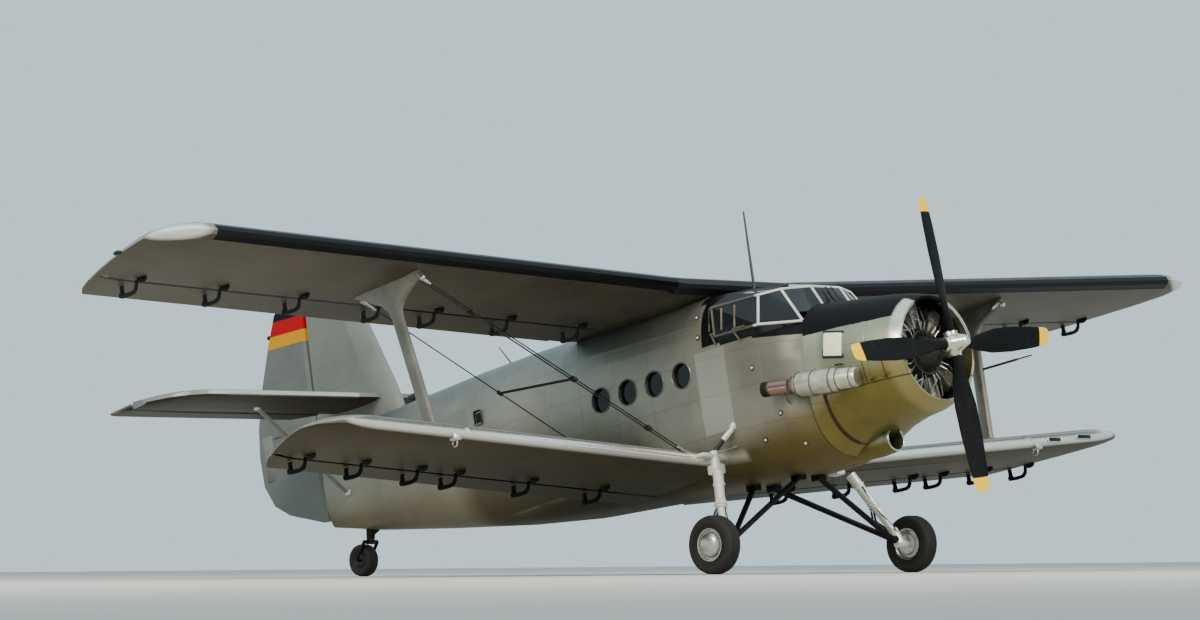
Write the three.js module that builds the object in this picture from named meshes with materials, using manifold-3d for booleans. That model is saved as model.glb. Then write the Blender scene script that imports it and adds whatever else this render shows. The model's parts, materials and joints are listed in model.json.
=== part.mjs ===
// Single-engined utility biplane with a radial engine, parked on its tailwheel.
// Millimetres. The aircraft is laid out level (x forward, y to port, z up), and the
// whole airframe is then pitched nose-up to stand on its three wheels.

import * as THREE from 'three';
import { mergeVertices } from 'three/addons/utils/BufferGeometryUtils.js';
import { ConvexGeometry } from 'three/addons/geometries/ConvexGeometry.js';
import Module from 'manifold-3d';

const wasm = await Module();
wasm.setup();

// Parked attitude: nose-up angle, height of the level datum over the floor at the main
// axle, and the shift that centres the whole aircraft over its origin.
const parkedPitch = THREE.MathUtils.degToRad(10.7);
const datumHeight = 331;
const centringShift = 3832;

// Clearance between pieces that touch.
const seat = 0.4;
const filletSeat = 0.9;

// Fuselage.
const skin = 45;
const frontFrameX = 1000;
const cockpitRearX = -250;
const cabinRearX = -4900;
const tailEndX = -8496;
const sillZ = 2533;
const deckEdgeX = 970;
const floorUndersideZ = 1262;
const roofJointZ = 2760;
const sidesBottomZ = 1300;
const floorTopZ = 1308;
const ringPoints = 32;

// Stations from nose to tail: height of the top and the bottom, half width, and how square
// the section is above and below its widest line (2 is an ellipse).
const bodyStations = [
  { x: 1000, top: 2800, bottom: 890, half: 830, squareUp: 3.0, squareDown: 2.6 },
  { x: 600, top: 2950, bottom: 850, half: 870, squareUp: 3.2, squareDown: 3.0 },
  { x: 0, top: 3230, bottom: 862, half: 896, squareUp: 3.5, squareDown: 3.5 },
  { x: -700, top: 3280, bottom: 890, half: 900, squareUp: 3.7, squareDown: 4.0 },
  { x: -2600, top: 3290, bottom: 1025, half: 900, squareUp: 3.7, squareDown: 4.2 },
  { x: -3800, top: 3288, bottom: 1105, half: 880, squareUp: 3.6, squareDown: 4.0 },
  { x: -4900, top: 3275, bottom: 1245, half: 800, squareUp: 3.2, squareDown: 3.4 },
  { x: -6300, top: 3235, bottom: 1480, half: 570, squareUp: 2.8, squareDown: 2.8 },
  { x: -7500, top: 3195, bottom: 1700, half: 335, squareUp: 2.5, squareDown: 2.5 },
  { x: -8530, top: 3115, bottom: 1938, half: 108, squareUp: 2.2, squareDown: 2.2 },
];

// Engine cowling stations from the lip to the firewall, with the same columns.
const cowlStations = [
  { x: 2400, top: 2560, bottom: 1268, half: 646, squareUp: 2, squareDown: 2 },
  { x: 2340, top: 2595, bottom: 1233, half: 681, squareUp: 2, squareDown: 2 },
  { x: 2200, top: 2640, bottom: 1188, half: 726, squareUp: 2, squareDown: 2 },
  { x: 1900, top: 2695, bottom: 1165, half: 775, squareUp: 2.1, squareDown: 2.1 },
  { x: 1500, top: 2740, bottom: 1085, half: 800, squareUp: 2.5, squareDown: 2.3 },
  { x: 1001, top: 2800, bottom: 890, half: 830, squareUp: 3.0, squareDown: 2.6 },
];
const cowlWall = 32;

// Windows and doors.
const windowXs = [-958, -1431, -1904, -2377];
const windowZ = 2313;
const windowRadius = 158;
const cargoDoor = { front: -2770, rear: -4290, bottom: 1330, top: 2730 };
const passengerDoor = { front: -3360, rear: -4170, bottom: 1390, top: 2660 };
const doorClearance = 6;
const doorWindows = [
  { x: -3065, z: 2313 },
  { x: -3765, z: 2313 },
];

// Door hinge lines: the cargo door's runs along its top edge, just outside the skin, and
// the passenger door's stands inside its front edge. Places are shares of the line.
const cargoHinge = {
  from: new THREE.Vector3(-4290, 852, 2727), to: new THREE.Vector3(-2770, 888, 2727),
  places: [0.1, 0.5, 0.9], radius: 16, length: 34,
};
const leafHinge = {
  from: new THREE.Vector3(-3363, 768, 1400), to: new THREE.Vector3(-3363, 768, 2650),
  places: [0.2, 0.8], radius: 12, length: 34,
};

// Thrust line, engine and propeller.
const thrustZ = 1914;
const cylinderCount = 9;
const cylinderX = 2010;
const engineRadius = 685;
const hubX = 2647.5;
const bladeCount = 4;
const bladePhase = THREE.MathUtils.degToRad(-4.65);

// Blade stations: radius, chord, thickness and pitch from the disc in degrees.
const bladeStations = [
  { r: 150, chord: 120, thick: 118, pitch: 46 },
  { r: 300, chord: 125, thick: 105, pitch: 39 },
  { r: 480, chord: 215, thick: 74, pitch: 30 },
  { r: 750, chord: 295, thick: 50, pitch: 21 },
  { r: 1100, chord: 302, thick: 34, pitch: 16 },
  { r: 1450, chord: 264, thick: 24, pitch: 14 },
  { r: 1700, chord: 218, thick: 17, pitch: 13 },
  { r: 1770, chord: 180, thick: 13, pitch: 13 },
  { r: 1791, chord: 120, thick: 9, pitch: 13 },
];

// Wings. Leading edge x and z at the root station, rise per metre of span, full chord,
// incidence, the share of the chord ahead of the hinged surfaces' gap, and how far behind
// their nose those pivot. At the tip the
// leading edge curves back by leadSweep from leadFrom on, and the rear edge comes forward to
// meet it from rearFrom on; a curve of a higher power is squarer.
const rootY = 950;
const upperWing = {
  leadX: -555, leadZ: 3374, rise: 0.0496, chord: 2384, incidence: 0.0805, thickness: 0.1414,
  hinge: 0.7, pivotBehind: 170, leadFrom: 8412, leadSweep: 488, leadPower: 1.98,
  rearFrom: 8510, rearPower: 1.41, tipY: 9090,
};
const lowerWing = {
  leadX: -524, leadZ: 1177, rise: 0.0734, chord: 2002, incidence: 0.0617, thickness: 0.1343,
  hinge: 0.733, pivotBehind: 110, leadFrom: 6406, leadSweep: 557, leadPower: 2.13,
  rearFrom: 6406, rearPower: 1.26, tipY: 7120,
};
const camber = 0.025;
const surfaceGap = 48;
const innerSurfaceY = 1130;
const flapSplitY = 4150;
const aileronEndY = 8762;
const lowerFlapEndY = 6700;
const slatEndY = 8420;
const endGap = 8;
const lowerRootY = 420;
const upperHookYs = [1345, 2545, 3745, 4645, 5885, 7105, 8335];
const lowerHookYs = [1655, 2845, 4035, 4645, 5525, 6385];

// How far the top of a surface's nose lies behind its bottom. An aileron needs more, so
// that it stays clear of the wing when its rear edge goes up.
const flapLean = 40;
const aileronLean = 116;

// How far a surface pivots under its lower skin.
const pivotDrop = 125;

// Hinge brackets under the gap, as outlines about the pivot (x forward, z up): the wing's
// reaches down from the skin ahead of the gap, the surface's up to its own skin.
const bracketThickness = 18;
const wingBracket = [
  [310, 205], [310, 70], [292, 12], [256, -26], [200, -42], [110, -44], [0, -36], [-26, -26],
  [-36, 0], [-26, 26], [0, 34], [54, 6], [190, 3], [235, 20], [262, 56], [272, 110],
  [272, 205],
];
const surfaceBracket = [
  [0, -36], [-26, -26], [-36, 0], [-28, 60], [-28, 148], [28, 148], [28, 60], [36, 0],
  [26, -26],
];

// Interplane strut: centre line at its foot and head, and the struts of its section.
const strutFoot = new THREE.Vector3(-1187, 4930, 1440);
const strutHead = new THREE.Vector3(-1363, 5166, 3290);

// Tail.
const tailplane = { leadX: -7190, z: 3460, chord: 1560, halfSpan: 3600, thickness: 0.1 };
const elevatorFraction = 0.6;
const rudderHingeX = -8600;
const noseShare = 0.85;
const elevatorGap = 26;
const elevatorNose = 62;

// Fin stations: height, leading edge x and half thickness at the rudder post.
const finStations = [
  { z: 3090, lead: -6790, half: 105 },
  { z: 3600, lead: -6960, half: 100 },
  { z: 4430, lead: -7310, half: 80 },
  { z: 4900, lead: -7540, half: 60 },
  { z: 5090, lead: -7720, half: 48 },
  { z: 5170, lead: -7960, half: 38 },
];

// Rudder stations: height, trailing edge x and half thickness at the hinge.
const rudderStations = [
  { z: 2040, trail: -8700, half: 70 },
  { z: 2270, trail: -9360, half: 100 },
  { z: 2450, trail: -9640, half: 105 },
  { z: 2750, trail: -9800, half: 105 },
  { z: 3150, trail: -9820, half: 105 },
  { z: 3540, trail: -9770, half: 100 },
  { z: 4080, trail: -9590, half: 88 },
  { z: 4600, trail: -9370, half: 70 },
  { z: 4990, trail: -9170, half: 52 },
  { z: 5150, trail: -8950, half: 40 },
];

// Landing gear. Wheels have one flat facet on the floor.
const mainWheel = { x: 0, y: 1760, radius: 352, half: 115 };
const tailWheel = { x: -8039, radius: 213, half: 92 };
mainWheel.z = axleHeight(mainWheel);
tailWheel.z = axleHeight(tailWheel);
const axleRadius = 47.3;
const tailSwivelX = -7850;
const wheelSides = 32;

const colours = {
  metal: 0xa9aba6, darkMetal: 0x4a4c4d, black: 0x16181b, steel: 0x8d9092, rubber: 0x1b1b1c,
  glass: 0x2c3438, interior: 0x6f7a72, frame: 0xd4d4ce, fabric: 0x9c9c96, copper: 0x6b4338,
};

// Height of a wheel's axle over the datum that puts the wheel on the floor.
function axleHeight({ x, radius }) {
  return (radius - datumHeight - x * Math.sin(parkedPitch)) / Math.cos(parkedPitch);
}

function material(colour, roughness, metalness) {
  return new THREE.MeshStandardMaterial({ color: colours[colour], roughness, metalness });
}

const materials = {
  skin: () => material('metal', 0.35, 0.9),
  wing: () => material('fabric', 0.5, 0.5),
  black: () => material('black', 0.5, 0.1),
  engine: () => material('darkMetal', 0.5, 0.8),
  steel: () => material('steel', 0.3, 0.9),
  rubber: () => material('rubber', 0.9, 0),
  glass: () => material('glass', 0.1, 0),
  interior: () => material('interior', 0.7, 0.1),
  frame: () => material('frame', 0.5, 0.3),
  copper: () => material('copper', 0.6, 0.7),
};

// Joins and cuts.

function orientOutward(geometry) {
  const position = geometry.attributes.position;
  const index = geometry.index;
  const a = new THREE.Vector3();
  const b = new THREE.Vector3();
  const c = new THREE.Vector3();
  let volume = 0;
  for (let i = 0; i < index.count; i += 3) {
    a.fromBufferAttribute(position, index.getX(i));
    b.fromBufferAttribute(position, index.getX(i + 1));
    c.fromBufferAttribute(position, index.getX(i + 2));
    volume += a.dot(b.cross(c));
  }
  if (volume < 0) {
    for (let i = 0; i < index.count; i += 3) {
      const second = index.getX(i + 1);
      index.setX(i + 1, index.getX(i + 2));
      index.setX(i + 2, second);
    }
  }
  return geometry;
}

// Points that coincide become one, and faces that have no area left go.
function closed(geometry) {
  const bare = geometry.clone();
  bare.deleteAttribute('normal');
  bare.deleteAttribute('uv');
  const merged = mergeVertices(bare, 1e-3);
  const kept = [];
  for (let i = 0; i < merged.index.count; i += 3) {
    const face = [0, 1, 2].map((k) => merged.index.getX(i + k));
    if (new Set(face).size === 3) {
      kept.push(...face);
    }
  }
  merged.setIndex(kept);
  return orientOutward(merged);
}

function solid(geometry) {
  const merged = closed(geometry);
  return new wasm.Manifold(new wasm.Mesh({
    numProp: 3,
    vertProperties: new Float32Array(merged.attributes.position.array),
    triVerts: new Uint32Array(merged.index.array),
  }));
}

function geometryOf(manifold) {
  const mesh = manifold.getMesh();
  const geometry = new THREE.BufferGeometry();
  geometry.setAttribute('position', new THREE.BufferAttribute(mesh.vertProperties, 3));
  geometry.setIndex(new THREE.BufferAttribute(mesh.triVerts, 1));
  return geometry;
}

function joined(geometries) {
  return geometries.map(solid).reduce((whole, piece) => whole.add(piece));
}

// Shapes.

function boxBetween(x0, x1, y0, y1, z0, z1) {
  const box = new THREE.BoxGeometry(Math.abs(x1 - x0), Math.abs(y1 - y0), Math.abs(z1 - z0));
  return box.translate((x0 + x1) / 2, (y0 + y1) / 2, (z0 + z1) / 2);
}

// Skin over a row of rings with equal point counts. The ends are capped, unless the row
// of rings closes on itself.
function loft(rings, closes = false) {
  const count = rings[0].length;
  const points = rings.flat();
  const faces = [];
  const spans = closes ? rings.length : rings.length - 1;
  for (let i = 0; i < spans; i++) {
    const here = i * count;
    const next = ((i + 1) % rings.length) * count;
    for (let k = 0; k < count; k++) {
      const m = (k + 1) % count;
      faces.push(here + k, next + k, next + m, here + k, next + m, here + m);
    }
  }
  if (!closes) {
    for (const [start, turn] of [[0, 1], [(rings.length - 1) * count, -1]]) {
      const ring = points.slice(start, start + count);
      const middle = ring.reduce((sum, p) => sum.add(p), new THREE.Vector3());
      points.push(middle.divideScalar(count));
      for (let k = 0; k < count; k++) {
        const m = (k + 1) % count;
        const edge = turn > 0 ? [start + k, start + m] : [start + m, start + k];
        faces.push(...edge, points.length - 1);
      }
    }
  }
  const geometry = new THREE.BufferGeometry().setFromPoints(points);
  geometry.setIndex(faces);
  return geometry;
}

// Round bar between two points, with a radius at each end.
function rod(from, to, radius, endRadius = radius, sides = 12) {
  const along = new THREE.Vector3().subVectors(to, from);
  const geometry = new THREE.CylinderGeometry(endRadius, radius, along.length(), sides);
  geometry.translate(0, along.length() / 2, 0);
  const turn = new THREE.Quaternion();
  turn.setFromUnitVectors(new THREE.Vector3(0, 1, 0), along.normalize());
  return geometry.applyQuaternion(turn).translate(from.x, from.y, from.z);
}

// Streamlined bar between two points: an eight-sided oval, its long side along x.
function fairedBar(from, to, chordFrom, chordTo, slimness = 0.38) {
  const ring = (centre, chord) => {
    const points = [];
    for (let k = 0; k < 10; k++) {
      const angle = (k / 10) * Math.PI * 2;
      const x = centre.x + Math.cos(angle) * chord / 2;
      const y = centre.y + Math.sin(angle) * chord * slimness / 2;
      points.push(new THREE.Vector3(x, y, centre.z));
    }
    return points;
  };
  return loft([ring(from, chordFrom), ring(to, chordTo)]);
}

// Fuselage sections.

// One section of a body, grown outward by a distance (or shrunk when it is negative).
function bodyRing(station, grow) {
  const middle = (station.top + station.bottom) / 2;
  const height = (station.top - station.bottom) / 2 + grow;
  const half = station.half + grow;
  const points = [];
  for (let k = 0; k < ringPoints; k++) {
    const angle = ((k + 0.5) / ringPoints) * Math.PI * 2;
    const square = Math.sin(angle) > 0 ? station.squareUp : station.squareDown;
    const y = half * Math.sign(Math.cos(angle)) * Math.abs(Math.cos(angle)) ** (2 / square);
    const z = height * Math.sign(Math.sin(angle)) * Math.abs(Math.sin(angle)) ** (2 / square);
    points.push(new THREE.Vector3(station.x, y, middle + z));
  }
  return points;
}

// The section at any x lies on straight lines between the two stations beside it.
function bodyRingAt(stations, x, grow) {
  const last = stations.length - 2;
  const found = stations.findIndex((s, i) => i === last || x >= stations[i + 1].x);
  const [front, rear] = [stations[found], stations[found + 1]];
  const share = (front.x - x) / (front.x - rear.x);
  const rearRing = bodyRing(rear, grow);
  return bodyRing(front, grow).map((p, k) => p.lerp(rearRing[k], share));
}

function bodyLoft(stations, frontX, rearX, grow) {
  const inside = stations.filter((s) => s.x < frontX - 1 && s.x > rearX + 1).map((s) => s.x);
  return loft([frontX, ...inside, rearX].map((x) => bodyRingAt(stations, x, grow)));
}

function fuselageSolid(frontX, rearX, grow = 0) {
  return solid(bodyLoft(bodyStations, frontX, rearX, grow));
}

// Wing sections.

function sectionHeight(thickness, f, upper) {
  const half = 5 * thickness * (0.2969 * Math.sqrt(f) - 0.126 * f - 0.3516 * f ** 2
    + 0.2843 * f ** 3 - 0.1016 * f ** 4);
  const middle = 4 * camber * f * (1 - f);
  return middle + (upper ? half : -half);
}

// How far the curved tip has moved an edge at a span station.
function tipCurve(y, from, tipY, sweep, power) {
  const reach = THREE.MathUtils.clamp((y - from) / (tipY - from), 0, 1);
  return sweep * (1 - (1 - reach ** power) ** (1 / power));
}

// Where the leading edge lies behind its straight line, and the chord left at the station.
function localChord(wing, y) {
  const { chord, leadFrom, leadSweep, leadPower, rearFrom, rearPower, tipY } = wing;
  const lead = tipCurve(y, leadFrom, tipY, leadSweep, leadPower);
  const rear = tipCurve(y, rearFrom, tipY, chord - leadSweep, rearPower);
  return { lead, length: chord - lead - rear };
}

// Sections stand square to the rising span line, as the hinge lines need, and upright only
// at the root.
function sectionTilt(wing, y) {
  const from = innerSurfaceY - endGap;
  return wing.rise * THREE.MathUtils.clamp((y - rootY) / (from - rootY), 0, 1);
}

// A point on the wing's surface, at a share of the local chord.
function wingPoint(wing, side, y, local, upper) {
  const { lead, length } = localChord(wing, y);
  const back = lead + local * length;
  const height = sectionHeight(wing.thickness, local, upper) * length - back * wing.incidence;
  return new THREE.Vector3(
    wing.leadX - back,
    side * (y - sectionTilt(wing, y) * height),
    wing.leadZ + wing.rise * (y - rootY) + height,
  );
}

// The share of the local chord at a distance behind the straight leading edge.
function localShare(wing, y, back) {
  const { lead, length } = localChord(wing, y);
  return (back - lead) / length;
}

// Shares of the distance from the leading edge to the hinged surfaces' gap, at which the
// sections have their points. On a whole section two more points a side lead to the rear.
const noseUpper = [1, 0.8, 0.55, 0.35, 0.22, 0.11, 0.035, 0];
const noseLower = [0.016, 0.066, 0.28, 0.6, 1];
const rearLimit = 0.98;
const tipReach = 0.88;
const slatUpper = [0.211, 0.126, 0.057, 0.016, 0];
const slatLower = [0.016, 0.057];

// Points that the cuts lie between: the slat's, and the gap's, past the end of the ring.
const slatCut = [noseUpper.indexOf(0.22) + 2, noseUpper.length + 3];
const gapCut = [noseUpper.length + noseLower.length + 1, noseUpper.length + noseLower.length + 6];

// Section over the upper surface from rear to front and back along the lower one. A cut
// puts the points between its two on the straight line that joins them.
function wingRing(wing, side, y, cuts) {
  const reach = Math.min(localShare(wing, y, wing.hinge * wing.chord), tipReach);
  const aft = [rearLimit, THREE.MathUtils.lerp(reach, rearLimit, 0.5)];
  const point = (f, upper) => wingPoint(wing, side, y, f, upper);
  const ring = [
    ...aft.map((f) => point(f, true)),
    ...noseUpper.map((s) => point(s * reach, true)),
    ...noseLower.map((s) => point(s * reach, false)),
    ...aft.toReversed().map((f) => point(f, false)),
  ];
  for (const [from, to] of cuts) {
    for (let k = from + 1; k < to; k++) {
      const share = (k - from) / (to - from);
      ring[k % ring.length].lerpVectors(ring[from], ring[to % ring.length], share);
    }
  }
  return ring;
}

// A wing from rows of span stations, each row with its own cuts. Where one row ends and the
// next begins at the same station, the skin steps between their sections.
function wingLoft(wing, side, rows) {
  return loft(rows.flatMap(({ ys, cuts }) => ys.map((y) => wingRing(wing, side, y, cuts))));
}

function tipStations(wing, from) {
  const steps = [0.3, 0.5, 0.68, 0.82, 0.92, 0.98, 0.997].map(
    (s) => wing.leadFrom + s * (wing.tipY - wing.leadFrom),
  );
  return [from, ...steps.filter((y) => y > from + 20)];
}

// A hinged surface behind the gap: thin rear edge, and a flat front that leans back.
function surfaceRing(wing, side, y, lean) {
  const gapRear = wing.hinge * wing.chord + surfaceGap;
  const front = localShare(wing, y, gapRear);
  const shoulder = localShare(wing, y, gapRear + lean);
  const point = (f, upper) => wingPoint(wing, side, y, f, upper);
  return [
    point(0.995, true),
    point(THREE.MathUtils.lerp(shoulder, 1, 0.5), true),
    point(shoulder, true),
    point(front, false),
    point(THREE.MathUtils.lerp(front, 1, 0.5), false),
    point(0.995, false),
  ];
}

// The pivots of a surface lie on one straight line, along the span.
function pivotPoint(wing, side, y) {
  const back = wing.hinge * wing.chord + surfaceGap + wing.pivotBehind;
  const height = sectionHeight(wing.thickness, back / wing.chord, false) * wing.chord
    - back * wing.incidence - pivotDrop;
  return new THREE.Vector3(
    wing.leadX - back,
    side * (y - wing.rise * height),
    wing.leadZ + wing.rise * (y - rootY) + height,
  );
}

// A flat bracket at the pivot, square to the hinge line and moved along it by a shift.
function bracket(wing, side, y, outline, shift) {
  const shape = new THREE.Shape(outline.map(([x, z]) => new THREE.Vector2(x, z)));
  const plate = new THREE.ExtrudeGeometry(shape, {
    depth: bracketThickness, bevelEnabled: false,
  });
  plate.rotateX(Math.PI / 2);
  plate.translate(0, shift + bracketThickness / 2, 0);
  plate.rotateX(side * Math.atan(wing.rise));
  const pivot = pivotPoint(wing, side, y);
  return plate.translate(pivot.x, pivot.y, pivot.z);
}

// The aircraft as a scene.

const aircraft = new THREE.Group();
const airframe = new THREE.Group();
airframe.rotation.y = -parkedPitch;
airframe.position.set(centringShift, 0, datumHeight);
aircraft.add(airframe);

function part(name, shape, finish) {
  const geometry = shape.isBufferGeometry ? closed(shape) : geometryOf(shape);
  geometry.computeVertexNormals();
  const mesh = new THREE.Mesh(geometry, materials[finish]());
  mesh.name = name;
  airframe.add(mesh);
  return mesh;
}

function sideName(side) {
  return side > 0 ? 'left' : 'right';
}

// Windows and door openings, as solids that cut the cabin wall.
function roundCutter(x, z, radius, side) {
  const cutter = new THREE.CylinderGeometry(radius, radius, 600, 24);
  return cutter.translate(x, side * 900, z);
}

function doorBox(door, gap) {
  return boxBetween(
    door.rear - gap, door.front + gap, 500, 1200, door.bottom - gap, door.top + gap,
  );
}

function cabinShell() {
  const outer = fuselageSolid(cockpitRearX - seat, cabinRearX + seat);
  const hollow = fuselageSolid(cockpitRearX + 50, cabinRearX - 50, -skin);
  return outer.subtract(hollow);
}

function buildCabin() {
  const shell = cabinShell();
  const far = 3000;
  const above = solid(boxBetween(-9000, 3000, -far, far, roofJointZ + seat, 4000));
  const below = solid(boxBetween(-9000, 3000, -far, far, 0, sidesBottomZ));
  const right = boxBetween(-9000, 3000, -far, -1, sidesBottomZ + seat, roofJointZ);
  const left = boxBetween(-9000, 3000, 1, far, sidesBottomZ + seat, roofJointZ);

  part('cabin_roof', shell.intersect(above), 'skin');

  const inside = fuselageSolid(cockpitRearX - seat, cabinRearX + seat, -skin / 2);
  const slab = boxBetween(
    cabinRearX + seat, cockpitRearX - seat, -900, 900, floorUndersideZ, sidesBottomZ,
  );
  const boards = boxBetween(
    cabinRearX + 2, cockpitRearX - 2, -900, 900, floorUndersideZ, floorTopZ,
  );
  const betweenWalls = fuselageSolid(cockpitRearX - 1, cabinRearX + 1, -skin - 2);
  const floor = shell.intersect(below)
    .add(solid(slab).intersect(inside))
    .add(solid(boards).intersect(betweenWalls));
  part('cabin_floor', floor, 'skin');

  let sideRight = shell.intersect(solid(right));
  let sideLeft = shell.intersect(solid(left));
  for (const x of windowXs) {
    sideRight = sideRight.subtract(solid(roundCutter(x, windowZ, windowRadius, -1)));
    sideLeft = sideLeft.subtract(solid(roundCutter(x, windowZ, windowRadius, 1)));
  }
  part('cabin_side_right', sideRight, 'skin');

  const jambStrap = { y: [-50, 6], z: [4, 16] };
  const doorStrap = { y: [-45, 6], z: [-40, -4] };
  sideLeft = sideLeft.subtract(solid(doorBox(cargoDoor, 0)))
    .subtract(joined(knuckles(cargoHinge, 1, doorClearance)))
    .add(joined(knuckles(cargoHinge, -1)))
    .add(joined(straps(cargoHinge, -1, jambStrap)));
  part('cabin_side_left', sideLeft, 'skin');

  const postStrap = { x: [2, 43], y: [-8, 82] };
  const leafStrap = { x: [-47, -2], y: [-8, 82] };
  const cargo = shell.intersect(solid(doorBox(cargoDoor, -doorClearance)))
    .subtract(solid(doorBox(passengerDoor, 0)))
    .subtract(solid(roundCutter(doorWindows[0].x, doorWindows[0].z, 150, 1)))
    .subtract(joined(knuckles(cargoHinge, -1, doorClearance)))
    .add(joined(knuckles(cargoHinge, 1)))
    .add(joined(straps(cargoHinge, 1, doorStrap)))
    .add(joined(knuckles(leafHinge, -1)))
    .add(joined(straps(leafHinge, -1, postStrap)));
  part('cargo_door', cargo, 'skin');
  const leaf = shell.intersect(solid(doorBox(passengerDoor, -doorClearance)))
    .subtract(solid(roundCutter(doorWindows[1].x, doorWindows[1].z, 150, 1)))
    .add(joined(knuckles(leafHinge, 1)))
    .add(joined(straps(leafHinge, 1, leafStrap)));
  part('passenger_door', leaf, 'skin');
}

// Round knuckles on a hinge line, on one side of each place, or grown to cut their room.
function knuckles({ from, to, places, radius, length }, end, grow = 0) {
  const along = to.clone().sub(from).normalize();
  return places.map((place) => {
    const middle = from.clone().lerp(to, place);
    const near = middle.clone().addScaledVector(along, end * (seat / 2 - grow));
    const far = middle.clone().addScaledVector(along, end * (length + grow));
    return rod(near, far, radius + grow);
  });
}

// Straps that tie the knuckles to their door or frame, as offsets from the hinge line.
function straps({ from, to, places, length }, end, offsets) {
  const [near, far] = [end * 3, end * length];
  return places.map((place) => {
    const middle = from.clone().lerp(to, place);
    const spans = ['x', 'y', 'z'].flatMap((axis) => (
      (offsets[axis] ?? [near, far]).map((offset) => middle[axis] + offset)
    ));
    return boxBetween(...spans);
  });
}

// Strip of glazing behind the four round windows of a side.
function buildWindowGlass(side) {
  const depth = 7;
  const outer = fuselageSolid(-700, -2650, -skin - seat);
  const inner = fuselageSolid(-650, -2700, -skin - seat - depth);
  const band = boxBetween(-2600, -740, side * 400, side * 1200, 2120, 2510);
  part(`cabin_glass_${sideName(side)}`, outer.subtract(inner).intersect(solid(band)), 'glass');
}

function buildNose() {
  const outer = fuselageSolid(frontFrameX, cockpitRearX);
  const hollow = fuselageSolid(frontFrameX - skin, cockpitRearX - 50, -skin);
  const aboveSill = boxBetween(-400, deckEdgeX, -1500, 1500, sillZ, 4000);
  part('fuselage_nose', outer.subtract(hollow).subtract(solid(aboveSill)), 'skin');
}

function buildTailCone() {
  const cone = fuselageSolid(cabinRearX, tailEndX);
  part('fuselage_tail', cone.add(solid(rudderHingeBlock(2600, tailEndX + 10))), 'skin');
}

// Block between the fin or tail cone and the rudder's round nose.
function rudderHingeBlock(z, frontX) {
  const nose = rudderNose(z);
  return boxBetween(rudderHingeX + nose + seat, frontX, -30, 30, z - 20, z + 20);
}

// Cockpit glazing: its corners on the port side, mirrored to starboard.
const glazingCorners = {
  sillRear: [-249, 880, 2534],
  bulgeRear: [-249, 965, 2640],
  shoulderRear: [-249, 950, 3000],
  eaveRear: [-249, 640, 3170],
  crownRear: [-249, 250, 3235],
  sillMiddle: [430, 845, 2534],
  bulgeMiddle: [430, 900, 2640],
  shoulderMiddle: [400, 790, 3015],
  crownMiddle: [440, 250, 3135],
  sillFront: [955, 670, 2534],
  cornerFront: [955, 680, 2570],
  deckFront: [958, 265, 2760],
  shoulderFront: [625, 620, 3040],
  crownFront: [782, 252, 3050],
};

function corner(name, side) {
  const [x, y, z] = glazingCorners[name];
  return new THREE.Vector3(x, side * y, z);
}

const glazingCentre = new THREE.Vector3(300, 0, 2700);

function glazingHull(scale) {
  const points = [];
  for (const name of Object.keys(glazingCorners)) {
    for (const side of [-1, 1]) {
      points.push(corner(name, side).sub(glazingCentre).multiplyScalar(scale).add(glazingCentre));
    }
  }
  return new ConvexGeometry(points);
}

function buildCockpit() {
  const hull = solid(glazingHull(1));
  const hollow = solid(glazingHull(0.988));
  const openBottom = solid(boxBetween(-240, 944, -655, 655, 2000, 2700));
  const openRear = solid(boxBetween(-400, -200, -600, 600, 2534, 3120));
  part('cockpit_glass', hull.subtract(hollow).subtract(openBottom).subtract(openRear), 'glass');

  const width = 34;
  const bars = [];
  const bar = (from, to) => bars.push(rod(from, to, width / 2, width / 2, 8));
  for (const side of [-1, 1]) {
    const at = (name) => corner(name, side);
    bar(at('bulgeRear'), at('shoulderRear'));
    bar(at('shoulderRear'), at('shoulderMiddle'));
    bar(at('bulgeRear'), at('bulgeMiddle'));
    bar(at('bulgeMiddle'), at('shoulderMiddle'));
    bar(at('bulgeMiddle'), at('cornerFront'));
    bar(at('cornerFront'), at('shoulderFront'));
    bar(at('shoulderMiddle'), at('shoulderFront'));
    bar(at('cornerFront'), at('deckFront'));
    bar(at('deckFront'), at('crownFront'));
    bar(at('shoulderFront'), at('crownFront'));
    bar(at('crownFront'), at('crownMiddle'));
    bar(at('crownMiddle'), at('crownRear'));
  }
  bar(corner('crownFront', -1), corner('crownFront', 1));
  bar(corner('crownMiddle', -1), corner('crownMiddle', 1));
  bar(corner('deckFront', -1), corner('deckFront', 1));
  const cage = joined(bars)
    .subtract(solid(glazingHull(1.0006)))
    .subtract(fuselageSolid(frontFrameX + 50, 0, seat).subtract(
      solid(boxBetween(-400, deckEdgeX - seat, -1500, 1500, sillZ - 1, 4000)),
    ))
    .subtract(solid(boxBetween(-400, cockpitRearX + 1, -1500, 1500, 2000, 4000)));
  part('cockpit_frame', cage, 'frame');
}

// Cockpit floor with its two seats, instrument panel and centre pedestal.
function buildCockpitInterior() {
  const pieces = [
    boxBetween(-230, 930, -900, 900, 1560, 1600),
    boxBetween(860, 900, -560, 560, 1598, 2480),
    boxBetween(640, 862, -150, 150, 1598, 2250),
  ];
  for (const side of [-1, 1]) {
    pieces.push(boxBetween(-60, 380, side * 180, side * 540, 1598, 1960));
    pieces.push(boxBetween(-90, 40, side * 180, side * 540, 1958, 2480));
  }
  const inside = fuselageSolid(frontFrameX, cockpitRearX, -skin - seat);
  part('cockpit_interior', joined(pieces).intersect(inside), 'interior');
}

// Upper centre section over the cabin roof.
function buildCentreSection() {
  const edge = rootY - seat;
  const rings = [-edge, edge].map((y) => (
    wingRing(upperWing, 1, rootY, []).map((p) => p.setY(y))
  ));
  const carved = solid(loft(rings)).subtract(fuselageSolid(frontFrameX, -4000, seat));
  part('centre_section', carved, 'skin');
}

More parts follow.
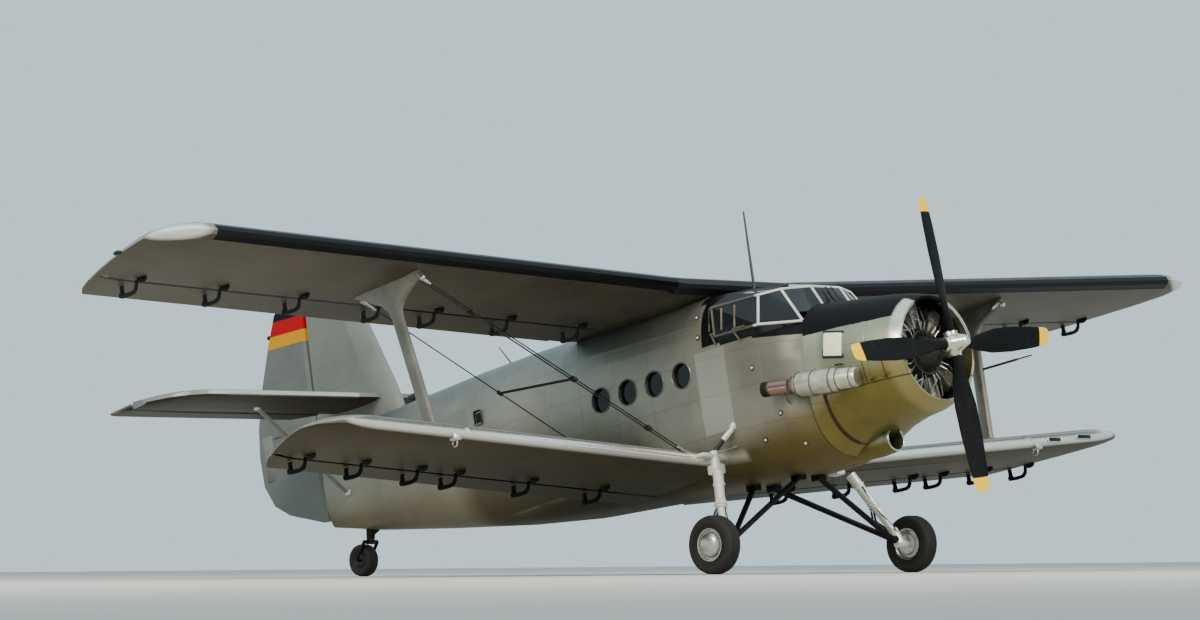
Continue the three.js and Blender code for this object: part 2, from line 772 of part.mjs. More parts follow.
function buildUpperWing(side) {
  const name = sideName(side);
  const inner = innerSurfaceY - endGap;
  const slatEnd = slatEndY + endGap;
  const outer = aileronEndY + endGap;
  const pieces = [wingLoft(upperWing, side, [
    { ys: [rootY + seat, inner], cuts: [] },
    { ys: [inner, upperWing.leadFrom, slatEnd], cuts: [slatCut, gapCut] },
    { ys: [slatEnd, 8600, outer], cuts: [gapCut] },
    { ys: tipStations(upperWing, outer), cuts: [] },
  ])];
  for (const y of upperHookYs) {
    pieces.push(bracket(upperWing, side, y, wingBracket, 0));
  }
  part(`upper_wing_${name}`, joined(pieces), 'wing');
  const slatRings = [inner + seat, upperWing.leadFrom, slatEnd - seat].map((y) => {
    const reach = localShare(upperWing, y, upperWing.hinge * upperWing.chord);
    return [
      ...slatUpper.map((s) => wingPoint(upperWing, side, y, s * reach, true)),
      ...slatLower.map((s) => wingPoint(upperWing, side, y, s * reach, false)),
    ];
  });
  part(`slat_${name}`, loft(slatRings), 'black');
  const flapYs = upperHookYs.filter((y) => y < flapSplitY);
  const aileronYs = upperHookYs.filter((y) => y > flapSplitY);
  const splitHalf = endGap / 2;
  part(`upper_flap_${name}`, surface(
    upperWing, side, [innerSurfaceY, flapSplitY - splitHalf], flapYs, flapLean,
  ), 'wing');
  part(`aileron_${name}`, surface(
    upperWing, side, [flapSplitY + splitHalf, upperWing.rearFrom, 8640, aileronEndY], aileronYs,
    aileronLean,
  ), 'wing');
}

// A flap or aileron with its brackets, each beside one of the wing's.
function surface(wing, side, stations, hookYs, lean) {
  const pieces = [loft(stations.map((y) => surfaceRing(wing, side, y, lean)))];
  for (const y of hookYs) {
    pieces.push(bracket(wing, side, y, surfaceBracket, bracketThickness + seat));
  }
  return joined(pieces);
}

function lowerWingLoft(wing, side) {
  const inner = innerSurfaceY - endGap;
  const outer = lowerFlapEndY + endGap;
  return wingLoft(wing, side, [
    { ys: [lowerRootY, inner], cuts: [] },
    { ys: [inner, wing.leadFrom, 6580, outer], cuts: [gapCut] },
    { ys: tipStations(wing, outer), cuts: [] },
  ]);
}

function buildLowerWing(side) {
  const name = sideName(side);
  const pieces = [lowerWingLoft(lowerWing, side)];
  for (const y of lowerHookYs) {
    pieces.push(bracket(lowerWing, side, y, wingBracket, 0));
  }
  const wing = joined(pieces).subtract(fuselageSolid(frontFrameX, -4000, filletSeat));
  part(`lower_wing_${name}`, wing, 'wing');
  part(`lower_flap_${name}`, surface(
    lowerWing, side, [innerSurfaceY, lowerWing.leadFrom, 6560, lowerFlapEndY], lowerHookYs,
    flapLean,
  ), 'wing');
}

// Sections of the interplane strut from its foot fairing to its spread head: share of the
// way up, length along x, its width as a share of that, and its shift along x.
const strutSections = [
  { t: -0.06, chord: 560, slim: 0.14, shift: 60 },
  { t: 0.02, chord: 500, slim: 0.14, shift: 60 },
  { t: 0.07, chord: 260, slim: 0.28, shift: 0 },
  { t: 0.13, chord: 196, slim: 0.44, shift: 0 },
  { t: 0.85, chord: 196, slim: 0.44, shift: 0 },
  { t: 0.9, chord: 250, slim: 0.36, shift: 0 },
  { t: 0.95, chord: 450, slim: 0.22, shift: 0 },
  { t: 1, chord: 820, slim: 0.13, shift: -10 },
  { t: 1.05, chord: 1190, slim: 0.1, shift: -20 },
  { t: 1.13, chord: 1190, slim: 0.1, shift: -20 },
];

function strutLoft(side, grow) {
  const foot = strutFoot.clone().setY(side * strutFoot.y);
  const head = strutHead.clone().setY(side * strutHead.y);
  return loft(strutSections.map(({ t, chord, slim, shift }) => {
    const centre = foot.clone().lerp(head, t);
    const points = [];
    for (let k = 0; k < 12; k++) {
      const angle = (k / 12) * Math.PI * 2;
      points.push(new THREE.Vector3(
        centre.x + shift + Math.cos(angle) * (chord / 2 + grow),
        centre.y + Math.sin(angle) * (chord * slim / 2 + grow),
        centre.z,
      ));
    }
    return points;
  }));
}

// Interplane strut, cut off by the two wings that it stands between.
function buildStrut(side) {
  const strut = solid(strutLoft(side, 0))
    .subtract(solid(underUpperWing(side)))
    .subtract(solid(overLowerWing(side)));
  const floor = solid(boxBetween(-3000, 1000, side * 4300, side * 5700, 900, 1330));
  part(`interplane_strut_${sideName(side)}`, keepLargest(strut.subtract(floor)), 'wing');
}

// The same wing, moved up or down.
function shifted(wing, rise) {
  return { ...wing, leadZ: wing.leadZ + rise };
}

// The straight part of each wing ahead of its gap, moved by the seat towards the other wing.
function underUpperWing(side) {
  const ys = [innerSurfaceY, upperWing.leadFrom];
  return wingLoft(shifted(upperWing, -seat), side, [{ ys, cuts: [slatCut, gapCut] }]);
}

function overLowerWing(side) {
  const ys = [innerSurfaceY, lowerWing.leadFrom];
  return wingLoft(shifted(lowerWing, seat), side, [{ ys, cuts: [gapCut] }]);
}

// The largest of the separate bodies that a cut leaves.
function keepLargest(manifold) {
  const bodies = manifold.decompose();
  return bodies.reduce((best, next) => (next.volume() > best.volume() ? next : best));
}

// Front and rear bracing wires, as streamlined steel bars from the head of the interplane
// strut to the root of the lower wing.
const wireEnds = {
  flying: { from: [-860, 5174, 3400], to: [-560, 1380, 1250] },
  rear: { from: [-1900, 5174, 3360], to: [-1750, 1390, 1250] },
};

function buildWires(side) {
  for (const [name, ends] of Object.entries(wireEnds)) {
    const [from, to] = [ends.from, ends.to].map(([x, y, z]) => new THREE.Vector3(x, side * y, z));
    const wire = solid(fairedBar(from, to, 26, 26, 0.5))
      .subtract(solid(strutLoft(side, filletSeat)))
      .subtract(solid(overLowerWing(side)));
    part(`${name}_wire_${sideName(side)}`, keepLargest(wire), 'black');
  }
}

// Engine: crankcase, nose case and nine cylinders in one ring.
function buildEngine() {
  const caseProfile = [
    [0, 1000.4], [190, 1000.4], [200, 1100], [250, 1140], [300, 1300], [300, 1780], [345, 1800], [345, 2150], [300, 2180],
    [240, 2240], [200, 2400], [105, 2470], [95, hubX - 108 - seat], [0, hubX - 108 - seat],
  ].map(([r, x]) => new THREE.Vector2(r, x));
  const pieces = [new THREE.LatheGeometry(caseProfile, 24)];
  for (let k = 0; k < cylinderCount; k++) {
    const angle = (k / cylinderCount) * Math.PI * 2;
    const from = new THREE.Vector3(Math.sin(angle) * 300, cylinderX, Math.cos(angle) * 300);
    const to = from.clone().setX(Math.sin(angle) * engineRadius)
      .setZ(Math.cos(angle) * engineRadius);
    pieces.push(rod(from, to, 88, 88, 12));
  }
  const block = joined(pieces);
  const turned = geometryOf(block).rotateZ(-Math.PI / 2).translate(0, 0, thrustZ);
  part('engine', turned, 'engine');
}

function buildCowl() {
  const outer = cowlStations.map((s) => bodyRing(s, 0));
  const inner = cowlStations.map((s) => bodyRing(s, -cowlWall)).reverse();
  part('engine_cowl', loft([...outer, ...inner], true), 'skin');
}

// Exhaust on the starboard side: pipe, shroud and tail piece on one straight axis.
function buildExhaust() {
  const profile = [
    [0, 0], [70, 0], [70, -120], [92, -120], [92, 300], [98, 340], [148, 380], [150, 900],
    [130, 960], [126, 1180], [110, 1230], [0, 1230],
  ];
  const tailBore = [[0, 40], [70, 40]];
  const points = [tailBore[0], tailBore[1], ...profile.slice(2)];
  const lathe = new THREE.LatheGeometry(
    points.map(([r, x]) => new THREE.Vector2(r, x)), 16,
  );
  const from = new THREE.Vector3(620, -1030, 1800);
  const to = new THREE.Vector3(1800, -830, 1690);
  const along = to.clone().sub(from).normalize();
  const turn = new THREE.Quaternion().setFromUnitVectors(new THREE.Vector3(0, 1, 0), along);
  lathe.applyQuaternion(turn).translate(from.x, from.y, from.z);
  const body = fuselageSolid(frontFrameX, -1000, seat);
  const cowl = solid(bodyLoft(cowlStations, 2400, 1000, seat));
  part('exhaust_pipe', solid(lathe).subtract(body).subtract(cowl), 'steel');
}

// Oil cooler duct under the cowling, open at the front.
function buildOilCooler() {
  const profile = [
    [0, 1350], [128, 1350], [128, 1530], [140, 1545], [152, 1530], [170, 1300], [150, 700],
    [60, 420], [0, 400],
  ].map(([r, x]) => new THREE.Vector2(r, x));
  const duct = new THREE.LatheGeometry(profile, 20).rotateZ(-Math.PI / 2).translate(0, 0, 1000);
  const cowl = solid(bodyLoft(cowlStations, 2400, 1000, seat));
  const body = fuselageSolid(frontFrameX + 1, -1000, seat);
  part('oil_cooler', keepLargest(solid(duct).subtract(cowl).subtract(body)), 'skin');
}

function buildPropeller() {
  const hubProfile = [
    [0, -108], [92, -108], [92, -60], [130, -50], [130, 60], [112, 85], [88, 150], [60, 236],
    [0, 236],
  ].map(([r, x]) => new THREE.Vector2(r, x));
  const pieces = [new THREE.LatheGeometry(hubProfile, 24)];
  for (let k = 0; k < bladeCount; k++) {
    const angle = (k / bladeCount) * Math.PI * 2;
    const out = new THREE.Vector3(Math.sin(angle), 0, Math.cos(angle));
    const from = out.clone().multiplyScalar(60);
    pieces.push(rod(from, out.clone().multiplyScalar(149), 86, 86, 16));
  }
  const hub = geometryOf(joined(pieces)).rotateZ(-Math.PI / 2);
  const disc = new THREE.Group();
  disc.position.set(hubX, 0, thrustZ);
  disc.rotation.x = -bladePhase;
  airframe.add(disc);
  disc.add(part('propeller_hub', hub, 'steel'));
  for (let k = 0; k < bladeCount; k++) {
    const blade = part(`propeller_blade_${k + 1}`, bladeGeometry(), 'black');
    blade.rotation.x = -(k / bladeCount) * Math.PI * 2;
    disc.add(blade);
  }
}

// One blade standing along +z, its pitch turned about that axis.
function bladeGeometry() {
  const rings = bladeStations.map((s) => {
    const pitch = THREE.MathUtils.degToRad(s.pitch);
    const points = [];
    for (let k = 0; k < 12; k++) {
      const angle = (k / 12) * Math.PI * 2;
      const across = Math.cos(angle) * s.chord / 2;
      const deep = Math.sin(angle) * s.thick / 2;
      const x = deep * Math.cos(pitch) - across * Math.sin(pitch);
      const y = across * Math.cos(pitch) + deep * Math.sin(pitch);
      points.push(new THREE.Vector3(x, y, s.r));
    }
    return points;
  });
  return loft(rings);
}

// A wheel on the y axis, turned so that a flat facet meets the floor.
function wheelGeometry(profile) {
  const wheel = new THREE.LatheGeometry(profile.map(([r, y]) => new THREE.Vector2(r, y)), wheelSides);
  return wheel.rotateY(Math.PI / 2 + Math.PI / wheelSides + parkedPitch);
}

function buildMainGear(side) {
  const name = sideName(side);
  const { x, y, z, radius, half } = mainWheel;
  const flat = radius / Math.cos(Math.PI / wheelSides);
  const tyre = wheelGeometry([
    [200, -half * 0.62], [250, -half * 0.86], [flat * 0.86, -half], [flat * 0.96, -half * 0.8],
    [flat, -half * 0.35], [flat, half * 0.35], [flat * 0.96, half * 0.8], [flat * 0.86, half],
    [250, half * 0.86], [200, half * 0.62], [200, -half * 0.62],
  ]);
  tyre.translate(x, side * y, z);
  part(`main_tyre_${name}`, tyre, 'rubber');

  const hub = wheelGeometry([
    [48, -90], [150, -90], [190, -74], [200 - seat, -74], [200 - seat, 74], [185, 84],
    [160, 110], [90, 128], [0, 134], [0, 60], [48, 60], [48, -90],
  ]);
  hub.scale(1, side, 1);
  hub.translate(x, side * y, z);
  part(`main_hub_${name}`, hub, 'steel');

  const top = new THREE.Vector3(-320, side * 1180, 960);
  const elbow = new THREE.Vector3(-30, side * 1545, 120);
  const middle = top.clone().lerp(elbow, 0.52);
  const axleFrom = new THREE.Vector3(x, side * 1480, z);
  const axleTo = new THREE.Vector3(x, side * (y + 55), z);
  const over = solid(lowerWingLoft(shifted(lowerWing, -seat), side));
  const leg = joined([
    rod(top, middle, 66, 62, 16),
    rod(middle.clone().lerp(top, 0.02), elbow, 46, 46, 16),
    rod(elbow.clone().lerp(top, 0.1), new THREE.Vector3(x, side * 1560, z), 70, 62, 12),
    rod(axleFrom, axleTo, axleRadius, axleRadius, 16),
  ]).subtract(over);
  part(`main_leg_${name}`, keepLargest(leg), 'frame');

  const apex = new THREE.Vector3(x - 10, side * 1432, z + 60);
  const front = new THREE.Vector3(60, side * 190, 830);
  const rear = new THREE.Vector3(-700, side * 190, 850);
  const legGrown = joined([
    rod(axleFrom, axleTo, axleRadius + seat, axleRadius + seat, 16),
    rod(elbow.clone().lerp(top, 0.1), new THREE.Vector3(x, side * 1560, z), 71, 63, 12),
    rod(middle.clone().lerp(top, 0.02), elbow, 47, 47, 16),
  ]);
  const brace = joined([
    rod(apex, front, 36, 36, 10),
    rod(apex, rear, 36, 36, 10),
    rod(apex.clone().setY(side * 1500), apex.clone().setY(side * 1400), 50, 50, 12),
    boxBetween(front.x - 70, front.x + 70, side * 120, side * 245, 800, 900),
    boxBetween(rear.x - 70, rear.x + 70, side * 120, side * 245, 820, 920),
  ]).subtract(fuselageSolid(frontFrameX, -3000, seat)).subtract(legGrown);
  part(`main_brace_${name}`, keepLargest(brace), 'black');
}

// Tailwheel: fixed leg under the tail, a fork that swivels about an upright axis, a wheel.
function buildTailGear() {
  const up = new THREE.Vector3(Math.sin(parkedPitch), 0, Math.cos(parkedPitch));
  const axle = new THREE.Vector3(tailWheel.x, 0, tailWheel.z);
  const swivel = new THREE.Vector3(tailSwivelX, 0, 1640);
  const at = (h) => swivel.clone().addScaledVector(up, h);
  const leg = joined([
    rod(at(10), at(300), 58, 66, 16),
    rod(at(60), new THREE.Vector3(-7560, 0, 1800), 34, 34, 10),
  ]).subtract(fuselageSolid(cabinRearX, tailEndX, seat));
  part('tail_leg', keepLargest(leg), 'black');

  const arm = (side) => new THREE.Vector3(axle.x, side * 118, axle.z);
  const shoulder = (side) => at(-28).setY(side * 118);
  const { half } = tailWheel;
  const pieces = [
    rod(at(-60), at(9), 56, 56, 16),
    rod(shoulder(-1), shoulder(1), 26, 26, 10),
    rod(arm(-1), arm(1), 16, 16, 12),
  ];
  for (const side of [-1, 1]) {
    pieces.push(rod(shoulder(side), arm(side), 24, 20, 10));
  }
  part('tail_fork', joined(pieces), 'black');

  const flat = tailWheel.radius / Math.cos(Math.PI / wheelSides);
  const wheel = wheelGeometry([
    [17, -62], [85, -62], [100, -half * 0.7], [flat * 0.8, -half], [flat * 0.95, -half * 0.75],
    [flat, -half * 0.3], [flat, half * 0.3], [flat * 0.95, half * 0.75], [flat * 0.8, half],
    [100, half * 0.7], [85, 62], [17, 62], [17, -62],
  ]);
  wheel.translate(axle.x, 0, axle.z);
  part('tail_wheel', wheel, 'rubber');
}

// Radius of the rudder's round nose at its widest within a hinge block's height.
function rudderNose(z) {
  const above = rudderStations.findIndex((s) => s.z > z);
  const [low, high] = [rudderStations[above - 1], rudderStations[above]];
  const half = (at) => THREE.MathUtils.mapLinear(at, low.z, high.z, low.half, high.half);
  return noseShare * Math.max(half(z - 20), half(z + 20));
}

// Fin and rudder: level sections of a thin symmetrical profile.
function buildFinAndRudder() {
  const post = rudderHingeX + 120;
  const fin = loft(finStations.map(({ z, lead, half }) => {
    const shares = [[0, 0.12], [0.08, 0.6], [0.3, 1], [1, 0.85]];
    const row = (side) => shares.map(([s, h]) => new THREE.Vector3(
      THREE.MathUtils.lerp(lead, post, s), side * h * half, z,
    ));
    return [...row(1), ...row(-1).reverse()];
  }));
  const finSolid = solid(fin)
    .subtract(fuselageSolid(cabinRearX, tailEndX, filletSeat))
    .subtract(solid(tailplaneLoft(seat).translate(seat, 0, 0)))
    .subtract(solid(tailplaneLoft(seat).translate(-seat, 0, 0)));
  part('fin', keepLargest(finSolid).add(solid(rudderHingeBlock(4300, post + 10))), 'wing');

  const rudder = loft(rudderStations.map(({ z, trail, half }) => {
    const points = [];
    for (let k = -2; k <= 2; k++) {
      const angle = k * Math.PI / 4;
      points.push(new THREE.Vector3(
        rudderHingeX + Math.cos(angle) * half * noseShare,
        Math.sin(angle) * half * noseShare,
        z,
      ));
    }
    points.push(new THREE.Vector3(trail, 5, z), new THREE.Vector3(trail, -5, z));
    return points;
  }));
  part('rudder', rudder, 'wing');
}

function tailRing(y, lead, grow) {
  const { leadX, z, chord, thickness } = tailplane;
  const shift = lead * chord;
  const local = chord - shift;
  const rear = (elevatorFraction - lead) / (1 - lead);
  const pointAt = (s, upper) => {
    const f = rear * s;
    const half = sectionHeight(thickness, f, true) - sectionHeight(thickness, f, false);
    const out = half * local / 2 + grow;
    return new THREE.Vector3(leadX - shift - f * local, y, z + (upper ? out : -out));
  };
  return [
    ...[1, 0.7, 0.35, 0.12, 0.02].map((s) => pointAt(s, true)),
    ...[0.02, 0.12, 0.35, 0.7, 1].map((s) => pointAt(s, false)),
  ];
}

// One panel from tip to tip, passing through the fin. Columns: span station, and how far
// the tip curve has moved the leading edge back, as a share of the chord.
const tailTips = [
  { y: 2600, lead: 0 }, { y: 3000, lead: 0.02 }, { y: 3300, lead: 0.1 },
  { y: 3450, lead: 0.22 }, { y: 3560, lead: 0.42 },
];

function tailplaneLoft(grow) {
  const port = tailTips.map(({ y, lead }) => tailRing(y, lead, grow));
  const starboard = tailTips.map(({ y, lead }) => tailRing(-y, lead, grow)).reverse();
  return loft([...starboard, ...port]);
}

function buildTailplane() {
  const rear = tailplane.leadX - elevatorFraction * tailplane.chord;
  const panel = [tailplaneLoft(0)];
  for (const y of [-2400, -1400, -500, 500, 1400, 2400]) {
    panel.push(boxBetween(
      rear - elevatorGap + seat, rear + 20, y - 25, y + 25, tailplane.z - 22, tailplane.z + 22,
    ));
  }
  part('tailplane', joined(panel), 'wing');
  for (const side of [-1, 1]) {
    buildElevator(side);
    buildTailStrut(side);
  }
}

function buildElevator(side) {
  const { leadX, z, chord } = tailplane;
  const hingeX = leadX - elevatorFraction * chord - elevatorGap - elevatorNose;
  const stations = [{ y: 330, trail: 0 }, { y: 2600, trail: 0 }, { y: 3300, trail: 0.01 },
    { y: 3440, trail: 0.06 }, { y: 3530, trail: 0.2 }];
  const rings = stations.map(({ y, trail }) => {
    const lead = y > 2600 ? (y - 2600) / 2600 : 0;
    const radius = elevatorNose * (1 - lead);
    const end = THREE.MathUtils.lerp(leadX - chord, hingeX, trail);
    const points = [];
    for (let k = -2; k <= 2; k++) {
      const angle = k * Math.PI / 4;
      points.push(new THREE.Vector3(
        hingeX + Math.cos(angle) * radius, side * y, z + Math.sin(angle) * radius,
      ));
    }
    points.push(new THREE.Vector3(end, side * y, z + 5), new THREE.Vector3(end, side * y, z - 5));
    return points;
  });
  part(`elevator_${sideName(side)}`, loft(rings), 'wing');
}

function buildTailStrut(side) {
  const from = new THREE.Vector3(-7900, side * 200, 2230);
  const to = new THREE.Vector3(-7720, side * 1880, 3420);
  const bar = solid(fairedBar(from, to, 90, 90, 0.4));
  const slab = solid(boxBetween(-9000, -6000, side * 1000, side * 3000, 3372, 4000));
  part(`tail_strut_${sideName(side)}`, keepLargest(
    bar.subtract(fuselageSolid(cabinRearX, tailEndX, seat)).subtract(slab),
  ), 'wing');
}

function buildAntenna() {
  const foot = new THREE.Vector3(-372, 0, 3190);
  const head = new THREE.Vector3(-360, 0, 4280);
  const mast = solid(rod(foot, head, 16, 7, 10));
  part('antenna', mast.subtract(fuselageSolid(cockpitRearX, cabinRearX, seat)), 'black');
}

buildNose();
buildCabin();
buildTailCone();
buildCockpit();
buildCockpitInterior();
buildCentreSection();
buildEngine();
buildCowl();
buildExhaust();
buildOilCooler();
buildPropeller();
for (const side of [-1, 1]) {
  buildWindowGlass(side);
  buildUpperWing(side);
  buildLowerWing(side);
  buildStrut(side);
  buildWires(side);
  buildMainGear(side);
}
buildTailGear();
buildFinAndRudder();
buildTailplane();
buildAntenna();

export default aircraft;
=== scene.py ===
import json
import math

import bmesh
import bpy
from mathutils import Matrix, Vector


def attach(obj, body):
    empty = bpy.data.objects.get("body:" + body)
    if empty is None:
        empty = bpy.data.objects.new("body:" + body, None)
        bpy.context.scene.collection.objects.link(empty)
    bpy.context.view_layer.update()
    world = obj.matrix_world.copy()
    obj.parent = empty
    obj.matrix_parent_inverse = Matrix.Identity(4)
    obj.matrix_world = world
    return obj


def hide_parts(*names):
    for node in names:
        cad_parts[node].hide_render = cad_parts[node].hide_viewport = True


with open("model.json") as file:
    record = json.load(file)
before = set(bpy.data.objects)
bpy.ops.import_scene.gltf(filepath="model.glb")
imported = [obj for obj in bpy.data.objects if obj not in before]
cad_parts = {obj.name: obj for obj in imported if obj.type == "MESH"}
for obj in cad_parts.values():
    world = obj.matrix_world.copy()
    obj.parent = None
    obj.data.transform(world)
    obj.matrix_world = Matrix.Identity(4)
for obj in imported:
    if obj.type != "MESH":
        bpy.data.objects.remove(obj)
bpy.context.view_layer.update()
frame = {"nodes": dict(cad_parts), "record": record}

print("frame loaded:", len(frame["nodes"]), "nodes")

# The aircraft's own frame: x forward, y to port, z up, in metres, level in flight.
# It stands nose-up on its wheels, so every new piece is turned and set down by this matrix.
parkedPitch = math.radians(10.7)
shipPlace = Vector((3.832, 0, 0.331))
shipToRow = Matrix.Translation(shipPlace) @ Matrix.Rotation(-parkedPitch, 4, "Y")
forward = Vector((1, 0, 0))
sides = (("right", -1), ("left", 1))  # starboard, then port
mergeGap = 0.00005


# Colours, nodes and materials

def linear(hexColour):  # sRGB hex to linear colour
    parts = [int(hexColour[i:i + 2], 16) / 255 for i in (1, 3, 5)]
    return [p / 12.92 if p <= 0.04045 else ((p + 0.055) / 1.055) ** 2.4 for p in parts] + [1.0]


def addNode(tree, kind, settings=None, links=None):  # a link comes from a socket or a node's first output
    node = tree.nodes.new("ShaderNode" + kind)
    for key, value in (settings or {}).items():
        if isinstance(key, int) or key in node.inputs:
            node.inputs[key].default_value = value
        else:
            setattr(node, key, value)
    for key, source in (links or {}).items():
        if isinstance(source, bpy.types.Node):
            source = source.outputs[0]
        tree.links.new(source, node.inputs[key])
    return node


def chain(tree, source, *steps):  # a row of nodes, each fed by the one before
    for kind, operation, *values in steps:
        settings, links = {"operation": operation}, {0: source}
        for place, value in enumerate(values, 1):
            (settings if isinstance(value, (int, float)) else links)[place] = value
        source = addNode(tree, kind, settings, links)
    return source


def shipVector(tree):  # object coordinates turned back into the aircraft's own frame
    place = addNode(tree, "TexCoord")
    return addNode(tree, "Mapping", {
        "vector_type": "TEXTURE", "Location": shipPlace, "Rotation": (0, -parkedPitch, 0),
    }, {"Vector": place.outputs["Object"]})


def foldedVector(tree, ship):  # the same, with port folded onto starboard
    parts = addNode(tree, "SeparateXYZ", links={0: ship})
    outward = chain(tree, parts.outputs[1], ("Math", "ABSOLUTE"))
    return addNode(tree, "CombineXYZ", links={0: parts, 1: outward, 2: parts.outputs[2]})


def insideMask(tree, vector, planes, soft, ragged=None):
    # 1 where every weighted sum lies over its edge; soft is in metres
    result = None
    for weights, edge in planes:
        dot = addNode(tree, "VectorMath", {"operation": "DOT_PRODUCT", 1: weights}, {0: vector})
        over = chain(tree, dot.outputs["Value"], ("Math", "SUBTRACT", edge))
        if ragged:
            over = chain(tree, over, ("Math", "ADD", ragged))
        step = addNode(tree, "MapRange", {"From Min": -soft, "From Max": soft}, {"Value": over})
        if result:
            step = chain(tree, result, ("Math", "MULTIPLY", step))
        result = step
    return result


def newMaterial(name):
    material = bpy.data.materials.new(name)
    material.use_nodes = True
    material.node_tree.nodes.clear()
    return material, material.node_tree


rivetRise, seamDepth = 0.5, -0.7  # in the height that feeds the bump


def addSeams(tree, folded, seams, colour, height):  # sheet edges with rivets, and a tone for each sheet
    parts = addNode(tree, "SeparateXYZ", links={0: folded})
    along = parts.outputs[seams.get("alongAxis", 0)]
    if "crossAxis" in seams:
        across = parts.outputs[seams["crossAxis"]]
    else:  # round the body, from the belly up the side
        across = chain(tree, parts.outputs[2], ("Math", "SUBTRACT", parts.outputs[1]))
    pitch = seams["rivetPitch"]
    lines, cells = [], []
    for value, other, (spacing, offset) in ((along, across, seams["along"]), (across, along, seams["across"])):
        distance = chain(tree, value, ("Math", "MULTIPLY_ADD", 1 / spacing, 0.5 - offset / spacing),
                         ("Math", "FRACT"), ("Math", "SUBTRACT", 0.5), ("Math", "ABSOLUTE"),
                         ("Math", "MULTIPLY", spacing))
        hop = chain(tree, other, ("Math", "MULTIPLY_ADD", 1 / pitch, 0.5), ("Math", "FRACT"),
                    ("Math", "SUBTRACT", 0.5), ("Math", "MULTIPLY", pitch))
        offLine = chain(tree, distance, ("Math", "SUBTRACT", seams["rivetAside"]))
        reach = addNode(tree, "CombineXYZ", links={0: offLine, 1: hop})
        length = addNode(tree, "VectorMath", {"operation": "LENGTH"}, {0: reach}).outputs["Value"]
        rivet = addNode(tree, "MapRange", {"From Min": seams["rivetSize"], "From Max": 0.0}, {"Value": length})
        seam = addNode(tree, "MapRange", {"From Min": seams["width"], "From Max": seams["width"] * 0.3},
                       {"Value": distance})
        lines.append((seam, rivet))
        cells.append(chain(tree, value, ("Math", "MULTIPLY_ADD", 1 / spacing, -offset / spacing),
                           ("Math", "FLOOR")))
    seam, rivet = [chain(tree, one, ("Math", "MAXIMUM", two)) for one, two in zip(*lines)]
    height = chain(tree, rivet, ("Math", "MULTIPLY_ADD", rivetRise, height))
    height = chain(tree, seam, ("Math", "MULTIPLY_ADD", seamDepth, height))
    cell = addNode(tree, "CombineXYZ", links={0: cells[0], 1: cells[1]})
    sheet = addNode(tree, "TexWhiteNoise", {"noise_dimensions": "3D"}, {"Vector": cell})
    spread = seams["sheetTone"]
    level = addNode(tree, "MapRange", {"To Min": 1 - spread, "To Max": 1 + spread}, {"Value": sheet})
    dirt = chain(tree, seam, ("Math", "MULTIPLY", -seams["dark"]), ("Math", "ADD", 1.0))
    level = chain(tree, level, ("Math", "MULTIPLY", dirt))
    return addNode(tree, "VectorMath", {"operation": "SCALE"}, {0: colour, "Scale": level}), height


def addUndersideShadeAndStain(tree, under, tone, colour):  # undersides painted darker and warmer: painted shade and reflection of the ground, with dust, oil and exhaust stain
    facing = addNode(tree, "SeparateXYZ", links={0: addNode(tree, "NewGeometry").outputs["Normal"]})
    down = addNode(tree, "MapRange", {"From Min": under.get("from", 0.1), "From Max": under.get("to", -0.5)},
                   {"Value": facing.outputs[2]})
    down = chain(tree, down, ("Math", "MULTIPLY", under["amount"]))
    shadeAndStain = addNode(tree, "Mix", {"data_type": "RGBA", 6: linear(under["colour"]), 7: linear(under["other"])},
                    {0: tone}).outputs[2]
    return addNode(tree, "Mix", {"data_type": "RGBA"}, {0: down, 6: colour, 7: shadeAndStain}).outputs[2]


def addAreas(tree, look, ship, folded, colour, rough):  # other metals and paints on the same piece, and patches of painted light and shade
    ragNoise = addNode(tree, "TexNoise", {"Scale": 6, "Detail": 6, "Roughness": 0.7}, {"Vector": ship})
    metal = None
    for patch in look["areas"]:
        rag = None
        if "ragged" in patch:
            rag = chain(tree, ragNoise, ("Math", "SUBTRACT", 0.5), ("Math", "MULTIPLY", patch["ragged"]))
        mask = None
        for planes in patch["where"]:
            here = insideMask(tree, folded, planes, patch.get("soft", 0.004), rag)
            if mask:
                here = chain(tree, mask, ("Math", "MAXIMUM", here))
            mask = here
        if "amount" in patch:
            mask = chain(tree, mask, ("Math", "MULTIPLY", patch["amount"]))
        colour = addNode(tree, "Mix", {"data_type": "RGBA", 7: linear(patch["colour"])},
                         {0: mask, 6: colour}).outputs[2]
        rough = addNode(tree, "Mix", {3: patch["rough"]}, {0: mask, 2: rough})
        metal = addNode(tree, "Mix", {2: look["metal"], 3: patch["metal"]},
                        {0: mask, **({2: metal} if metal else {})})
    return colour, rough, metal


